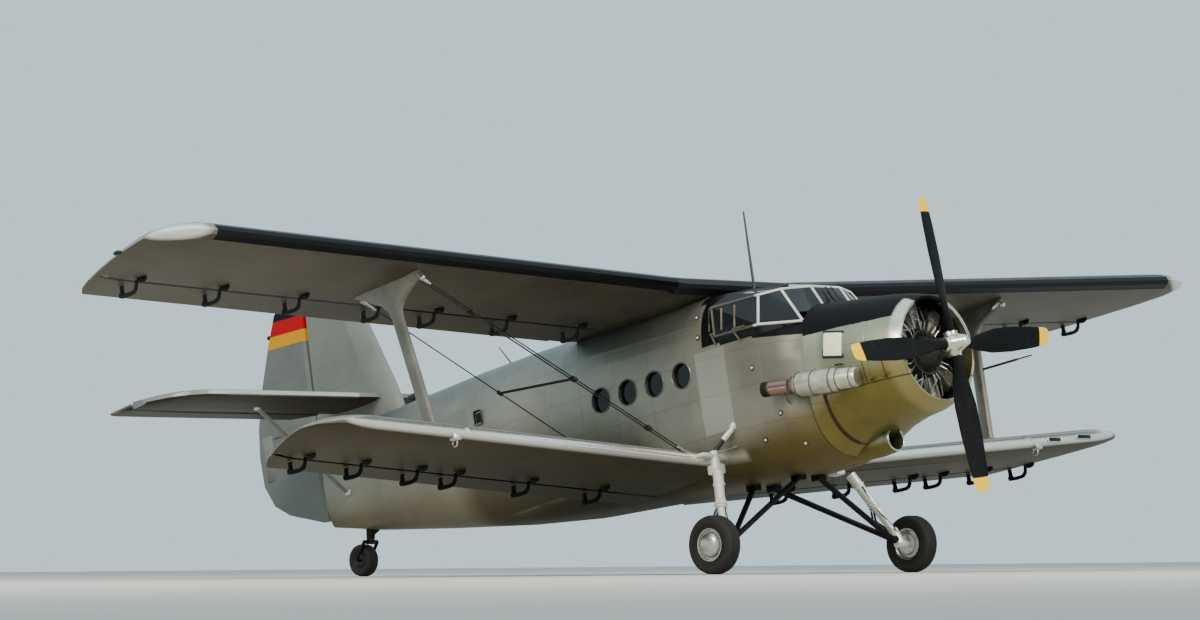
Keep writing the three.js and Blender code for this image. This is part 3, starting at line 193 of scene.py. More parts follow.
def buildFinish(name, look):  # one layered finish: tone, seams with rivets, painted underside shade with stains, painted areas and bump
    material, tree = newMaterial(name)
    ship = shipVector(tree)
    folded = foldedVector(tree, ship)
    cloud = addNode(tree, "TexNoise", {"Scale": 1000 / look["cloudMm"], "Detail": 5, "Roughness": 0.6},
                    {"Vector": ship})
    grain = addNode(tree, "TexNoise", {"Scale": 1000 / look["grainMm"], "Detail": 3}, {"Vector": ship})
    tone = addNode(tree, "MapRange", {"From Min": 0.3, "From Max": 0.7}, {"Value": cloud})
    one, two = (linear(colour) for colour in look["colours"])
    colour = addNode(tree, "Mix", {"data_type": "RGBA", 6: one, 7: two}, {0: tone}).outputs[2]
    smooth, dull = look["rough"]
    rough = addNode(tree, "MapRange", {"To Min": smooth, "To Max": dull}, {"Value": cloud})
    height = chain(tree, grain, ("Math", "MULTIPLY", look["grainDepth"]))
    metal = None
    if "dent" in look:  # sheet that bulges between its frames
        dent = addNode(tree, "TexNoise", {"Scale": 1000 / look["dentMm"], "Detail": 1}, {"Vector": ship})
        height = chain(tree, dent, ("Math", "MULTIPLY_ADD", look["dent"], height))
    if "seams" in look:
        colour, height = addSeams(tree, folded, look["seams"], colour, height)
    if "under" in look:
        colour = addUndersideShadeAndStain(tree, look["under"], tone, colour)
    if "areas" in look:
        colour, rough, metal = addAreas(tree, look, ship, folded, colour, rough)
    bump = addNode(tree, "Bump", {"Strength": look.get("bump", 0.3), "Distance": look.get("bumpDepth", 0.001)},
                   {"Height": height})
    shader = addNode(tree, "BsdfPrincipled", {"Metallic": look["metal"], **look.get("shader", {})}, {
        "Base Color": colour, "Roughness": rough, "Normal": bump, **({"Metallic": metal} if metal else {})})
    addNode(tree, "OutputMaterial", links={0: shader})
    return material


# What each surface is made of, slot by slot.

# two tones, sizes of the patterns, then the least and most roughness
def finish(one, two, cloudMm, grainMm, grainDepth, smooth, dull, metal, **more):
    return {"colours": (one, two), "cloudMm": cloudMm, "grainMm": grainMm, "grainDepth": grainDepth,
            "rough": (smooth, dull), "metal": metal, **more}


def within(x=(None, None), y=(None, None), z=(None, None), slants=()):
    # a box in the aircraft's frame, y counted outwards, as half spaces of ((x, y, z) weights, edge)
    planes = list(slants)
    for axis, (low, high) in enumerate((x, y, z)):
        weights = [float(axis == k) for k in range(3)]
        if low is not None:
            planes.append((weights, low))
        if high is not None:
            planes.append(([-weight for weight in weights], -high))
    return planes


def area(colour, rough, metal, *where, **more):
    return {"colour": colour, "rough": rough, "metal": metal, "where": where, **more}


def blackPaint(*where, **more):
    return area("#020307", 0.6, 0.0, *where, **more)


def brightEdge(*where, **more):  # polished leading edge
    return area("#f4f4f1", 0.24, 0.9, *where, **more)


sheetSeams = {"along": (0.62, 0.36), "across": (0.47, 0.12), "rivetPitch": 0.06, "rivetAside": 0.022,
              "rivetSize": 0.011, "width": 0.008, "sheetTone": 0.05, "dark": 0.16}
ribSeams = {"alongAxis": 1, "crossAxis": 0, "rivetPitch": 0.07, "rivetAside": 0.0, "rivetSize": 0.009,
            "width": 0.012, "sheetTone": 0.035, "dark": 0.12}
finRibs = {**ribSeams, "alongAxis": 2, "along": (0.33, 0.1), "across": (1.1, 0.1), "sheetTone": 0.02,
           "dark": 0.05}
# painted shade and ground reflection for undersides, with dust and oil stain
undersideShadeAndStain = {"colour": "#574826", "other": "#6d5f3c", "amount": 0.9, "from": 0.06, "to": -0.42}
sheetMetal = {"bump": 0.5, "bumpDepth": 0.004, "seams": sheetSeams}
fabric = {"bump": 0.45, "bumpDepth": 0.004}
lowShine = {"Specular IOR Level": 0.15}

finishes = {
    # bare rolled aluminium sheet, oxidised: a dull silver that picks up sky above and ground below
    "fuselage": finish(
        "#8d8b80", "#a3a196", 900, 18, 0.06, 0.42, 0.58, 0.75, **sheetMetal, dentMm=420, dent=1.6,
        # undersides painted darker: painted shade and ground reflection, with dust and oil stain
        shader=lowShine, under=undersideShadeAndStain, areas=[
            # cool shade under the wing
            area("#4f6267", 0.5, 0.7, within(x=(None, -1.6), z=(2.82, None)),
                 amount=0.6, soft=0.28, ragged=0.4),
            # paler sheets low at the rear
            area("#928a78", 0.5, 0.7, within(x=(None, -5.0), z=(None, 1.95)),
                 amount=0.6, soft=0.35, ragged=0.5),
            # oil haze behind the lower cowling
            area("#6a5d38", 0.5, 0.6, within(x=(0.05, None), slants=[((0.42, 0, -1), -1.17)]),
                 amount=0.78, soft=0.2, ragged=0.3),
            # duller sheets beside the cockpit
            area("#5f5e58", 0.6, 0.7, within(x=(-0.12, None), z=(1.82, None)),
                 amount=0.5, soft=0.14, ragged=0.2),
            # newer sheet in front of the windows
            area("#b9b9ac", 0.34, 0.7, within(x=(-0.70, -0.20), z=(1.50, 2.52)), amount=0.55),
            # painted highlight along the root fillet
            area("#e9e6d6", 0.28, 0.7, within(x=(-0.60, -0.16), y=(0.5, None), slants=[
                ((0.1, 0, 1), 1.09), ((-0.1, 0, -1), -1.19)]), amount=0.6, soft=0.045),
            # soot along the belly
            area("#4a4330", 0.6, 0.3, within(x=(-5.2, -1.6), slants=[((-0.14, 0, -1), -1.62)]),
                 amount=0.85, soft=0.28, ragged=0.25),
            # antiglare paint before the windscreen, on the roof and round the side windows
            blackPaint(within(x=(0.26, None), slants=[((0.153, 0, 1), 2.548)]),
                       within(x=(-0.66, None), z=(3.12, None)),
                       within(x=(-0.56, -0.2), y=(0.5, None), z=(2.57, 3.2)), ragged=0.02),
            # gap along the firewall
            area("#22211e", 0.5, 0.3, within(x=(0.992, None), z=(None, 1.75))),
        ]),
    "doors": finish("#8c8d85", "#a2a39b", 700, 18, 0.06, 0.36, 0.52, 0.75, **sheetMetal, dentMm=380, dent=1.4,
                    # undersides painted darker: painted shade and ground reflection, with dust and oil stain
                    under=undersideShadeAndStain),
    # the same sheet near the engine, tinted by warm oil
    "cowl": finish(
        "#8c907b", "#a1a48f", 600, 14, 0.06, 0.3, 0.46, 0.78, bump=0.5, bumpDepth=0.004, dentMm=320, dent=1.0,
        seams={**sheetSeams, "along": (0.47, 0.06), "across": (0.62, 0.1), "dark": 0.3}, shader=lowShine,
        # undersides painted darker olive: painted shade, with oil stain
        under={"colour": "#6e6230", "other": "#83763f", "amount": 0.95, "from": 0.12, "to": -0.3}, areas=[
            # painted highlight: a paler band behind the cowl flaps, where the bulge of the cowling catches the
            # light
            area("#bdbfaa", 0.36, 0.7, within(x=(None, 1.25), z=(1.75, None)), amount=0.6, soft=0.05),
            # rubbed front lip
            area("#a89a68", 0.32, 0.75, within(x=(2.2, None), z=(None, 1.9)), amount=0.6, soft=0.05),
            # rear edge, split line and panel joints of the lower cowling
            area("#3d2b1c", 0.5, 0.3, within(x=(1.205, 1.255), z=(1.0, 1.60)),
                 within(x=(1.2, None), z=(1.588, 1.604)), within(x=(1.585, 1.600), z=(1.60, 1.86)),
                 within(x=(1.86, 1.875), z=(1.60, 1.90)), within(x=(2.13, 2.145), z=(1.60, 1.93)), soft=0.008),
            blackPaint(within(x=(0.9, None), slants=[((0.03, 0, 1), 2.397)]), ragged=0.03),
            # painted highlight: polished metal at the front of the cowling, lighter on its upper sides only
            area("#dcdccb", 0.24, 0.9, within(x=(2.27, None), y=(0.3, None), z=(1.98, None)),
                 amount=0.8, soft=0.02),
        ]),
    "centre_section": finish(
        "#8d8e86", "#a2a39b", 800, 18, 0.06, 0.36, 0.5, 0.7, **sheetMetal, dentMm=420, dent=1.2,
        # underside painted darker: painted shade
        under={"colour": "#5f5a48", "other": "#5f5a48", "amount": 0.8},
        areas=[blackPaint(within(x=(-0.70, None)))]),
    # fabric under silver dope over ribs: matt grey, a little shine where the ribs stretch it
    "upper_wing": finish(
        "#7d7e78", "#8f908a", 1100, 9, 0.12, 0.45, 0.6, 0.35, **fabric, dentMm=900, dent=1.5,
        seams={**ribSeams, "along": (0.39, 0.1), "across": (1.19, -0.2)},
        # undersides painted dark brown: painted shade, with dust stain
        under={"colour": "#42382a", "other": "#5d5240", "amount": 0.95}, areas=[
            brightEdge(within(y=(8.42, None), slants=[((1, 0.78, 0), 6.08)]), soft=0.05),
            # black paint at the root behind the slat and on the hinge brackets; painted shade in the flap gap
            # and along the coves over the flaps
            blackPaint(within(x=(-0.72, None), y=(None, 1.20)), within(x=(-2.29, -2.219), y=(None, 8.77)),
                       soft=0.003),
            blackPaint(within(x=(-2.52, -2.04), slants=[((0, 0.0496, -1), -3.129)]), soft=0.002),
        ]),
    "lower_wing": finish(
        "#8d8d86", "#a09f98", 1100, 9, 0.12, 0.42, 0.58, 0.4, **fabric, dentMm=900, dent=1.5, shader=lowShine,
        seams={**ribSeams, "along": (0.37, 0.1), "across": (1.0, -0.2)},
        # undersides painted dark brown: painted shade, with dust stain
        under={"colour": "#33290f", "other": "#4c4025", "amount": 0.95}, areas=[
            brightEdge(within(x=(-0.6, None)), soft=0.03),
            # painted shade in the flap gap, and black hinge brackets with painted shade along the coves over
            # the flaps
            blackPaint(within(x=(-2.055, -1.986), y=(None, 6.71)), soft=0.003),
            blackPaint(within(x=(-2.23, -1.74), slants=[((0, 0.0734, -1), -0.972)]), soft=0.002),
        ]),
    "tail": finish(
        "#7b7d79", "#8c8d88", 900, 9, 0.12, 0.42, 0.58, 0.4, **fabric, dentMm=700, dent=1.2, shader=lowShine,
        # undersides painted dark brown: painted shade, with dust stain
        seams=finRibs, under={"colour": "#2c2412", "other": "#3e3420", "amount": 0.95}, areas=[
            brightEdge(within(x=(-7.225, None), y=(0.45, None)),
                       within(y=(3.0, None), slants=[((1, 0.9, 0), -4.40)]), amount=0.6, soft=0.03)]),
    # the same fabric with three painted bands across the top
    "rudder": finish(
        "#696b67", "#787a75", 900, 9, 0.12, 0.42, 0.58, 0.35, **fabric, dentMm=700, dent=1.2,
        shader={"Specular IOR Level": 0.12}, seams=finRibs, areas=[
            area("#cd9200", 0.5, 0.0, [((0.055, 0, 1), 4.04)]),
            area("#ae0008", 0.5, 0.0, [((0.055, 0, 1), 4.205)]),
            area("#050508", 0.4, 0.0, [((0.055, 0, 1), 4.40)])]),
    # sprayed black gloss on sheet metal
    "slat": finish("#020307", "#05070d", 500, 12, 0.08, 0.3, 0.46, 0.0, bumpDepth=0.002,
                   shader={"Specular IOR Level": 0.2}),
    # brushed black enamel on steel tube
    "black_steel": finish("#08080a", "#121213", 120, 6, 0.2, 0.38, 0.55, 0.0, shader=lowShine),
    "antenna": finish("#1a1c1f", "#2a2c2e", 120, 6, 0.2, 0.35, 0.5, 0.0),
    # pale enamel on the glazing bars, dull behind the side windows
    "cockpit_frame": finish("#c9c9c4", "#dededa", 160, 5, 0.1, 0.3, 0.45, 0.1,
                            areas=[area("#55564f", 0.45, 0.4, within(x=(None, 0.36)))]),
    "interior": finish("#33403b", "#46524c", 200, 4, 0.3, 0.6, 0.8, 0.0),
    # silver lacquer on steel and duralumin: soft highlights along the tubes
    "strut": finish("#6f6c64", "#87847c", 300, 8, 0.1, 0.3, 0.45, 0.6),
    "wire": finish("#1d1c1b", "#302e2c", 100, 4, 0.3, 0.4, 0.55, 0.6),
    "leg": finish("#dadad0", "#efefe6", 180, 6, 0.15, 0.28, 0.42, 0.35),
    "wheel_hub": finish("#b3b2aa", "#d2d1c9", 90, 4, 0.15, 0.22, 0.36, 0.9),
    # black rubber, greyed by dust
    "tyre": finish("#100e0c", "#1d1a17", 140, 3, 0.5, 0.72, 0.88, 0.0, bump=0.4),
    # polished steel hub with a film of oil
    "propeller_hub": finish("#c5bfb0", "#ece8dc", 60, 3, 0.1, 0.18, 0.32, 0.95, bump=0.25),
    # heat-stained steel: straw at the front, red-brown at the outlet, black at its mouth
    "exhaust": finish("#b3b09c", "#dcdaca", 90, 5, 0.2, 0.28, 0.42, 0.85, areas=[
        area("#a5857a", 0.22, 0.9, within(x=(None, 0.93)), soft=0.012),
        area("#1c1210", 0.6, 0.5, within(x=(None, 0.62)), within(x=(0.885, 0.93)), soft=0.02)]),
    # cast and machined aluminium under heat and oil
    "engine": finish("#33342f", "#55564f", 70, 5, 0.3, 0.38, 0.6, 0.75, bump=0.4),
    "cylinderFins": finish("#8d8a80", "#c6c3b9", 60, 5, 0.3, 0.36, 0.55, 0.8, bump=0.4),
    "engineTubes": finish("#a9a69e", "#dad8d0", 50, 4, 0.2, 0.25, 0.4, 0.85),
    # small fittings: polished steel, blued steel, cream enamel, matt black roof, worn drab bars
    "brightMetal": finish("#b9b9b2", "#dadad4", 70, 4, 0.1, 0.2, 0.34, 0.9, bump=0.2),
    "darkSteel": finish("#16171a", "#232426", 70, 4, 0.2, 0.4, 0.55, 0.3),
    "coverSheet": finish("#fbfbce", "#fefed8", 160, 6, 0.1, 0.35, 0.5, 0.0),
    "roofPaint": finish("#0b0d10", "#1c2024", 240, 8, 0.2, 0.6, 0.8, 0.0, shader={"Specular IOR Level": 0.2}),
    "dullBars": finish("#4f4d3c", "#737160", 90, 4, 0.2, 0.4, 0.6, 0.4),
}
materials = {slot: buildFinish(slot, look) for slot, look in finishes.items()}

bladeLook = {"paint": "#050609", "worn": "#15161a", "tip": "#fccb00", "tipFrom": 1.62, "tipSoft": 0.004,
             "hub": (0, 0, 1.914)}


def buildBladePaint():  # matt black paint over metal, with yellow tips; paler patches where it is worn
    material, tree = newMaterial("bladePaint")
    ship = shipVector(tree)
    away = addNode(tree, "VectorMath", {"operation": "SUBTRACT", 1: bladeLook["hub"]}, {0: ship})
    flat = addNode(tree, "VectorMath", {"operation": "MULTIPLY", 1: (0, 1, 1)}, {0: away})
    radius = addNode(tree, "VectorMath", {"operation": "LENGTH"}, {0: flat}).outputs["Value"]
    noise = addNode(tree, "TexNoise", {"Scale": 9, "Detail": 6, "Roughness": 0.65}, {"Vector": ship})
    worn = addNode(tree, "MapRange", {"From Min": 0.5, "From Max": 0.72}, {"Value": noise})
    paint = addNode(tree, "Mix", {"data_type": "RGBA", 6: linear(bladeLook["paint"]),
                                  7: linear(bladeLook["worn"])}, {0: worn}).outputs[2]
    edge, soft = bladeLook["tipFrom"], bladeLook["tipSoft"]
    tip = addNode(tree, "MapRange", {"From Min": edge - soft, "From Max": edge + soft}, {"Value": radius})
    colour = addNode(tree, "Mix", {"data_type": "RGBA", 7: linear(bladeLook["tip"])},
                     {0: tip, 6: paint}).outputs[2]
    rough = addNode(tree, "MapRange", {"To Min": 0.5, "To Max": 0.74}, {"Value": noise})
    bump = addNode(tree, "Bump", {"Strength": 0.25, "Distance": 0.001}, {"Height": noise})
    shader = addNode(tree, "BsdfPrincipled", {"Specular IOR Level": 0.12},
                     {"Base Color": colour, "Roughness": rough, "Normal": bump})
    addNode(tree, "OutputMaterial", links={0: shader})
    return material


def buildGlass(name, tint, clear):  # acrylic panes: dark against the cabin, with a film of dust
    material, tree = newMaterial(name)
    dust = addNode(tree, "TexNoise", {"Scale": 5, "Detail": 5}, {"Vector": shipVector(tree)})
    rough = addNode(tree, "MapRange", {"To Min": 0.0, "To Max": 0.07}, {"Value": dust})
    colour = addNode(tree, "Mix", {"data_type": "RGBA", 6: linear(tint[0]), 7: linear(tint[1])},
                     {0: dust}).outputs[2]
    bump = addNode(tree, "Bump", {"Strength": 0.1, "Distance": 0.001}, {"Height": dust})
    shader = addNode(tree, "BsdfPrincipled", {
        "IOR": 1.49, "Transmission Weight": clear, "Specular IOR Level": 0.2,
    }, {"Base Color": colour, "Roughness": rough, "Normal": bump})
    addNode(tree, "OutputMaterial", links={0: shader})
    return material


materials["propeller_blade"] = buildBladePaint()
materials["glass"] = buildGlass("cabinAcrylic", ("#0a0c14", "#151a22"), 0.4)
materials["windscreen"] = buildGlass("windscreenAcrylic", ("#2c3033", "#454b4f"), 0.75)
print("materials made:", len(materials))

# Modelling, in the aircraft's frame and in metres

def mirrored(place, side):
    return Vector((place[0], side * place[1], place[2]))


def standing(at, direction):  # a matrix that stands local z along a direction
    return Matrix.Translation(Vector(at)) @ Vector(direction).to_track_quat("Z", "Y").to_matrix().to_4x4()


def addRod(bm, start, end, radius, endRadius=None, segments=12):
    start, end = Vector(start), Vector(end)
    bmesh.ops.create_cone(bm, cap_ends=True, segments=segments, radius1=radius,
                          radius2=radius if endRadius is None else endRadius, depth=(end - start).length,
                          matrix=standing((start + end) / 2, end - start))


def addBlock(bm, centre, size, turn=None, bevel=0.0):
    matrix = Matrix.Translation(Vector(centre)) @ (turn or Matrix()).to_4x4() @ Matrix.Diagonal((*size, 1))
    made = bmesh.ops.create_cube(bm, size=1, matrix=matrix)["verts"]
    if bevel:
        edges = list({edge for vert in made for edge in vert.link_edges})
        bmesh.ops.bevel(bm, geom=edges, offset=bevel, affect="EDGES", segments=2, profile=0.5, material=-1)


def addBall(bm, centre, radii, segments=14, rings=8):
    bmesh.ops.create_uvsphere(bm, u_segments=segments, v_segments=rings, radius=1,
                              matrix=Matrix.Translation(centre) @ Matrix.Diagonal((*radii, 1)))


def addSpun(bm, profile, at, direction, steps=24):  # profile of (radius, height) turned about the direction
    verts = [bm.verts.new((radius, 0, height)) for radius, height in profile]
    edges = [bm.edges.new(pair) for pair in zip(verts, verts[1:])]
    before = set(bm.verts) - set(verts)
    bmesh.ops.spin(bm, geom=verts + edges, cent=(0, 0, 0), axis=(0, 0, 1), angle=math.tau, steps=steps,
                   use_merge=True)
    made = [vert for vert in bm.verts if vert not in before]
    bmesh.ops.transform(bm, matrix=standing(at, direction), verts=made)


def addRing(bm, at, direction, major, minor, steps=32, segments=8):
    turns = [math.tau * k / segments for k in range(segments)]
    profile = [(major + minor * math.cos(turn), minor * math.sin(turn)) for turn in turns]
    addSpun(bm, profile + profile[:1], at, direction, steps)


def newVerts(grown):
    return [part for part in grown["geom"] if isinstance(part, bmesh.types.BMVert)]


def addTube(bm, points, radius, segments=8):  # a bent tube through points, capped at both ends
    points = [Vector(point) for point in points]
    heading = points[1] - points[0]
    made = bmesh.ops.create_circle(bm, cap_ends=True, segments=segments, radius=radius,
                                   matrix=standing(points[0], heading))["verts"]
    face = made[0].link_faces[0]
    for k in range(1, len(points)):
        grown = bmesh.ops.extrude_face_region(bm, geom=[face])
        if k > 1:
            bmesh.ops.delete(bm, geom=[face], context="FACES_ONLY")
        face = [part for part in grown["geom"] if isinstance(part, bmesh.types.BMFace)][0]
        onward = points[min(k + 1, len(points) - 1)] - points[k - 1]
        turn = heading.rotation_difference(onward).to_matrix().to_4x4()
        matrix = Matrix.Translation(points[k]) @ turn @ Matrix.Translation(-points[k - 1])
        bmesh.ops.transform(bm, matrix=matrix, verts=newVerts(grown))
        heading = onward


def addSlab(bm, corners, normal, below, thick):  # a flat sheet that starts below its corners
    face = bm.faces.new([bm.verts.new(corner - normal * below) for corner in corners])
    grown = bmesh.ops.extrude_face_region(bm, geom=[face])
    bmesh.ops.translate(bm, vec=normal * thick, verts=newVerts(grown))


def addObject(name, data):
    thing = bpy.data.objects.new(name, data)
    bpy.context.scene.collection.objects.link(thing)
    return thing


def placePiece(mesh, name, material, body, replaced, sharp):
    mesh.shade_smooth()
    mesh.set_sharp_from_angle(angle=math.radians(sharp))
    mesh.materials.append(materials[material])
    piece = addObject(name, mesh)
    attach(piece, body)
    if replaced:
        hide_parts(*replaced)
    return piece


def finishPiece(bm, name, material, body="airframe", replaced=(), sharp=35):
    bmesh.ops.remove_doubles(bm, verts=bm.verts, dist=mergeGap)
    bmesh.ops.recalc_face_normals(bm, faces=bm.faces)
    bmesh.ops.transform(bm, matrix=shipToRow, verts=bm.verts)
    mesh = bpy.data.meshes.new(name)
    bm.to_mesh(mesh)
    bm.free()
    placePiece(mesh, name, material, body, replaced, sharp)


# The carried-over solids: merged and smoothed copies stand in for the faceted ones

nodeSlots = {entry["node"]: entry["material_slot"] for entry in frame["record"]["subparts"]}
nodeBodies = {node: body for body, nodes in frame["record"]["behaviour"]["bodies"].items() for node in nodes}
skinBuild = {
    "rebuilt": {"engine", "main_tyre_right", "main_tyre_left", "main_hub_right", "main_hub_left", "tail_wheel"},
    "materials": {"cockpit_glass": "windscreen"},  # the rest wear the finish of their slot
    "flat": 0.15, "sharp": 28,  # degrees
}


def smoothCopy(node, finishName):
    mesh = frame["nodes"][node].data.copy()
    mesh.name = node + "_skin"
    bm = bmesh.new()
    bm.from_mesh(mesh)
    bmesh.ops.remove_doubles(bm, verts=bm.verts, dist=mergeGap)
    bmesh.ops.dissolve_limit(bm, angle_limit=math.radians(skinBuild["flat"]), verts=bm.verts, edges=bm.edges)
    bmesh.ops.triangulate(bm, faces=[face for face in bm.faces if len(face.verts) > 4])
    bm.to_mesh(mesh)
    bm.free()
    mesh.materials.clear()
    skin = placePiece(mesh, node + "_skin", finishName, nodeBodies[node], (node,),
                      skinBuild["sharp"])
    skin.modifiers.new("weighted", "WEIGHTED_NORMAL").keep_sharp = True


for node, solid in frame["nodes"].items():
    finishName = skinBuild["materials"].get(node, nodeSlots[node])
    if node not in skinBuild["rebuilt"]:
        smoothCopy(node, finishName)
    for materialSlot in solid.material_slots:
        materialSlot.material = materials[finishName]
print("skins made")

# The engine: nine finned cylinders on a crankcase.
# Places on a cylinder are (forward, sideways, outward) from the hub.
engineBuild = {
    "hub": (2.01, 0, 1.914), "cylinders": 9,
    "case": ((0, -0.22), (0.20, -0.22), (0.27, -0.16), (0.31, -0.1), (0.31, 0.1), (0.27, 0.15), (0.25, 0.2),
             (0.19, 0.27), (0.17, 0.34), (0.125, 0.39), (0.11, 0.49), (0.085, 0.5), (0.085, 0.52), (0, 0.52)),
    "rings": ((0.2, 0.262, 0.022), (-0.15, 0.42, 0.035)),  # forward, radius, thickness
    "bolts": 18, "bolt": ((0.235, 0, 0.215), (0.265, 0, 0.215)), "boltRadius": 0.012,
    "barrelRadius": 0.078, "finRadius": 0.112, "barrelFrom": 0.30, "barrelTo": 0.50, "fins": 10,
    "headRadius": 0.128, "headTo": 0.665, "headFins": 8,
    "rockerBox": ((-0.04, 0.075, 0.648), (0.09, 0.075, 0.648)), "rockerRadius": 0.034,
    "rockerLid": ((0.09, 0.075, 0.648), (0.102, 0.075, 0.648)), "lidRadius": 0.038,
    "pushrod": ((0.135, 0.055, 0.30), (0.075, 0.075, 0.648)), "pushrodRadius": 0.014,
    "lead": ((0.2, 0.03, 0.262), (0.23, 0.03, 0.362), (0.14, 0.115, 0.455), (0.105, 0.115, 0.575),
             (0.06, 0.115, 0.575)), "leadRadius": 0.008,
    "intake": ((-0.15, 0.12, 0.42), (-0.15, 0.115, 0.52), (-0.135, 0.05, 0.6), (-0.1, 0.05, 0.6)),
    "intakeRadius": 0.03,
}


def finProfile(inner, outer, start, end, count):
    points = []
    pitch = (end - start) / count
    for k in range(count):
        for radius, share in ((inner, 0), (inner, 0.45), (outer, 0.55), (outer, 0.8), (inner, 0.95)):
            points.append((radius, start + (k + share) * pitch))
    return points


def onSpoke(places, angle, hand=1):  # places on a cylinder, turned to its angle
    turn = Matrix.Rotation(-angle, 3, "X")
    return [Vector(engineBuild["hub"]) + turn @ mirrored(place, hand) for place in places]


def buildEngine():
    e = engineBuild
    hub = Vector(e["hub"])
    cases, fins, pipes = bmesh.new(), bmesh.new(), bmesh.new()
    addSpun(cases, e["case"], hub, forward, 36)
    for place, radius, thickness in e["rings"]:
        addRing(cases, hub + forward * place, forward, radius, thickness, 40)
    for k in range(e["bolts"]):
        addRod(cases, *onSpoke(e["bolt"], math.tau * k / e["bolts"]), e["boltRadius"], segments=6)
    foot, barrelTo, headTo = e["barrelFrom"] + 0.015, e["barrelTo"], e["headTo"]
    profile = [(0, foot - 0.025), (0.1, foot - 0.025), (0.1, foot)]
    profile += finProfile(e["barrelRadius"], e["finRadius"], foot, barrelTo, e["fins"])
    profile += finProfile(e["barrelRadius"] + 0.015, e["headRadius"], barrelTo, headTo, e["headFins"])
    profile += [(0.09, headTo), (0.06, headTo + 0.018), (0, headTo + 0.018)]
    for k in range(e["cylinders"]):
        angle = math.tau * k / e["cylinders"]
        addSpun(fins, profile, hub, (0, math.sin(angle), math.cos(angle)), 20)
        for hand in (-1, 1):  # rocker boxes, pushrod tubes and spark plug leads
            addRod(cases, *onSpoke(e["rockerBox"], angle, hand), e["rockerRadius"])
            addRod(cases, *onSpoke(e["rockerLid"], angle, hand), e["lidRadius"])
            addRod(pipes, *onSpoke(e["pushrod"], angle, hand), e["pushrodRadius"], segments=8)
            addTube(pipes, onSpoke(e["lead"], angle, hand), e["leadRadius"], 6)
        addTube(pipes, onSpoke(e["intake"], angle), e["intakeRadius"], 10)
    finishPiece(cases, "engineCases", "engine", replaced=("engine",))
    finishPiece(fins, "cylinderFins", "cylinderFins")
    finishPiece(pipes, "engineTubes", "engineTubes")


buildEngine()
print("engine made")

# Wheels; hub and cap are (radius, outward) profiles

wheelBuild = {
    "main": {"place": (0, 1.76, 0.02137), "radius": 0.352, "half": 0.115, "bead": 0.2, "grooves": 4,
             "grooveDepth": 0.006,
             "hub": ((0.048, -0.085), (0.12, -0.085), (0.135, -0.06), (0.165, -0.055), (0.178, -0.08),
                     (0.198, -0.09), (0.199, -0.07), (0.196, -0.02), (0.196, 0.02), (0.199, 0.07),
                     (0.198, 0.09), (0.184, 0.088), (0.176, 0.066), (0.05, 0.062), (0.048, 0.062),
                     (0.048, -0.085)),
             "cap": ((0, 0.064), (0.152, 0.064), (0.158, 0.074), (0.152, 0.088), (0.138, 0.108), (0.112, 0.124),
                     (0.078, 0.134), (0.04, 0.139), (0, 0.14)),
             # circle, outward start and end, radius of each round of bolts
             "bolts": ((0.168, 0.064, 0.078, 0.008), (0.1, -0.085, -0.097, 0.009)), "boltCount": 8},
    "tail": {"place": (-8.039, 0, 1.39888), "radius": 0.213, "half": 0.092, "bead": 0.1, "grooves": 2,
             "grooveDepth": 0.004,
             "hub": ((0.018, -0.06), (0.07, -0.06), (0.086, -0.052), (0.0985, -0.066), (0.0985, 0.066),
                     (0.086, 0.052), (0.07, 0.06), (0.018, 0.06), (0.018, -0.06))},
}


def tyreProfile(w):  # from one bead over the tread to the other, grooves included
    r, h, b = w["radius"], w["half"], w["bead"]
    flank = [(b, h * 0.62), (b + 0.03, h * 0.84), (r * 0.72, h * 0.97), (r * 0.82, h), (r * 0.91, h * 0.93),
             (r * 0.965, h * 0.78), (r * 0.99, h * 0.58)]
    tread, low = [], r - w["grooveDepth"]
    for k in range(w["grooves"]):
        middle = -h * 0.42 + h * 0.84 * k / (w["grooves"] - 1)
        tread += [(r, middle - 0.007), (low, middle - 0.004), (low, middle + 0.004), (r, middle + 0.007)]
    return [(radius, -out) for radius, out in flank] + tread + flank[::-1] + [(b, -h * 0.62)]


def buildMainWheel(name, side):
    w = wheelBuild["main"]
    centre, out = mirrored(w["place"], side), Vector((0, side, 0))
    tyre, hub = bmesh.new(), bmesh.new()
    addSpun(tyre, tyreProfile(w), centre, out, 72)
    for ring in (-1, 1):  # raised line on each sidewall
        addRing(tyre, centre + Vector((0, ring * w["half"] * 0.955, 0)), out, w["radius"] * 0.70, 0.006, 64, 6)
    finishPiece(tyre, "tyre_" + name, "tyre", "main_wheel_" + name, ("main_tyre_" + name,), 40)
    addSpun(hub, w["hub"], centre, out, 48)
    addSpun(hub, w["cap"], centre, out, 40)
    for k in range(w["boltCount"]):
        angle = math.tau * k / w["boltCount"]
        for circle, start, end, radius in w["bolts"]:
            at = centre + Vector((math.cos(angle), 0, math.sin(angle))) * circle
            addRod(hub, at + out * start, at + out * end, radius, segments=6)
    finishPiece(hub, "hub_" + name, "wheel_hub", "main_wheel_" + name, ("main_hub_" + name,))


def buildTailWheel():
    w = wheelBuild["tail"]
    tyre, hub = bmesh.new(), bmesh.new()
    addSpun(tyre, tyreProfile(w), w["place"], (0, 1, 0), 56)
    finishPiece(tyre, "tailTyre", "tyre", "tail_wheel", ("tail_wheel",), 40)
    addSpun(hub, w["hub"], w["place"], (0, 1, 0), 36)
    finishPiece(hub, "tailHub", "darkSteel", "tail_wheel")


for name, side in sides:
    buildMainWheel(name, side)
buildTailWheel()
print("wheels made")

# Window rims; the doors sit in the narrowing tail end, so their rims lean with the skin

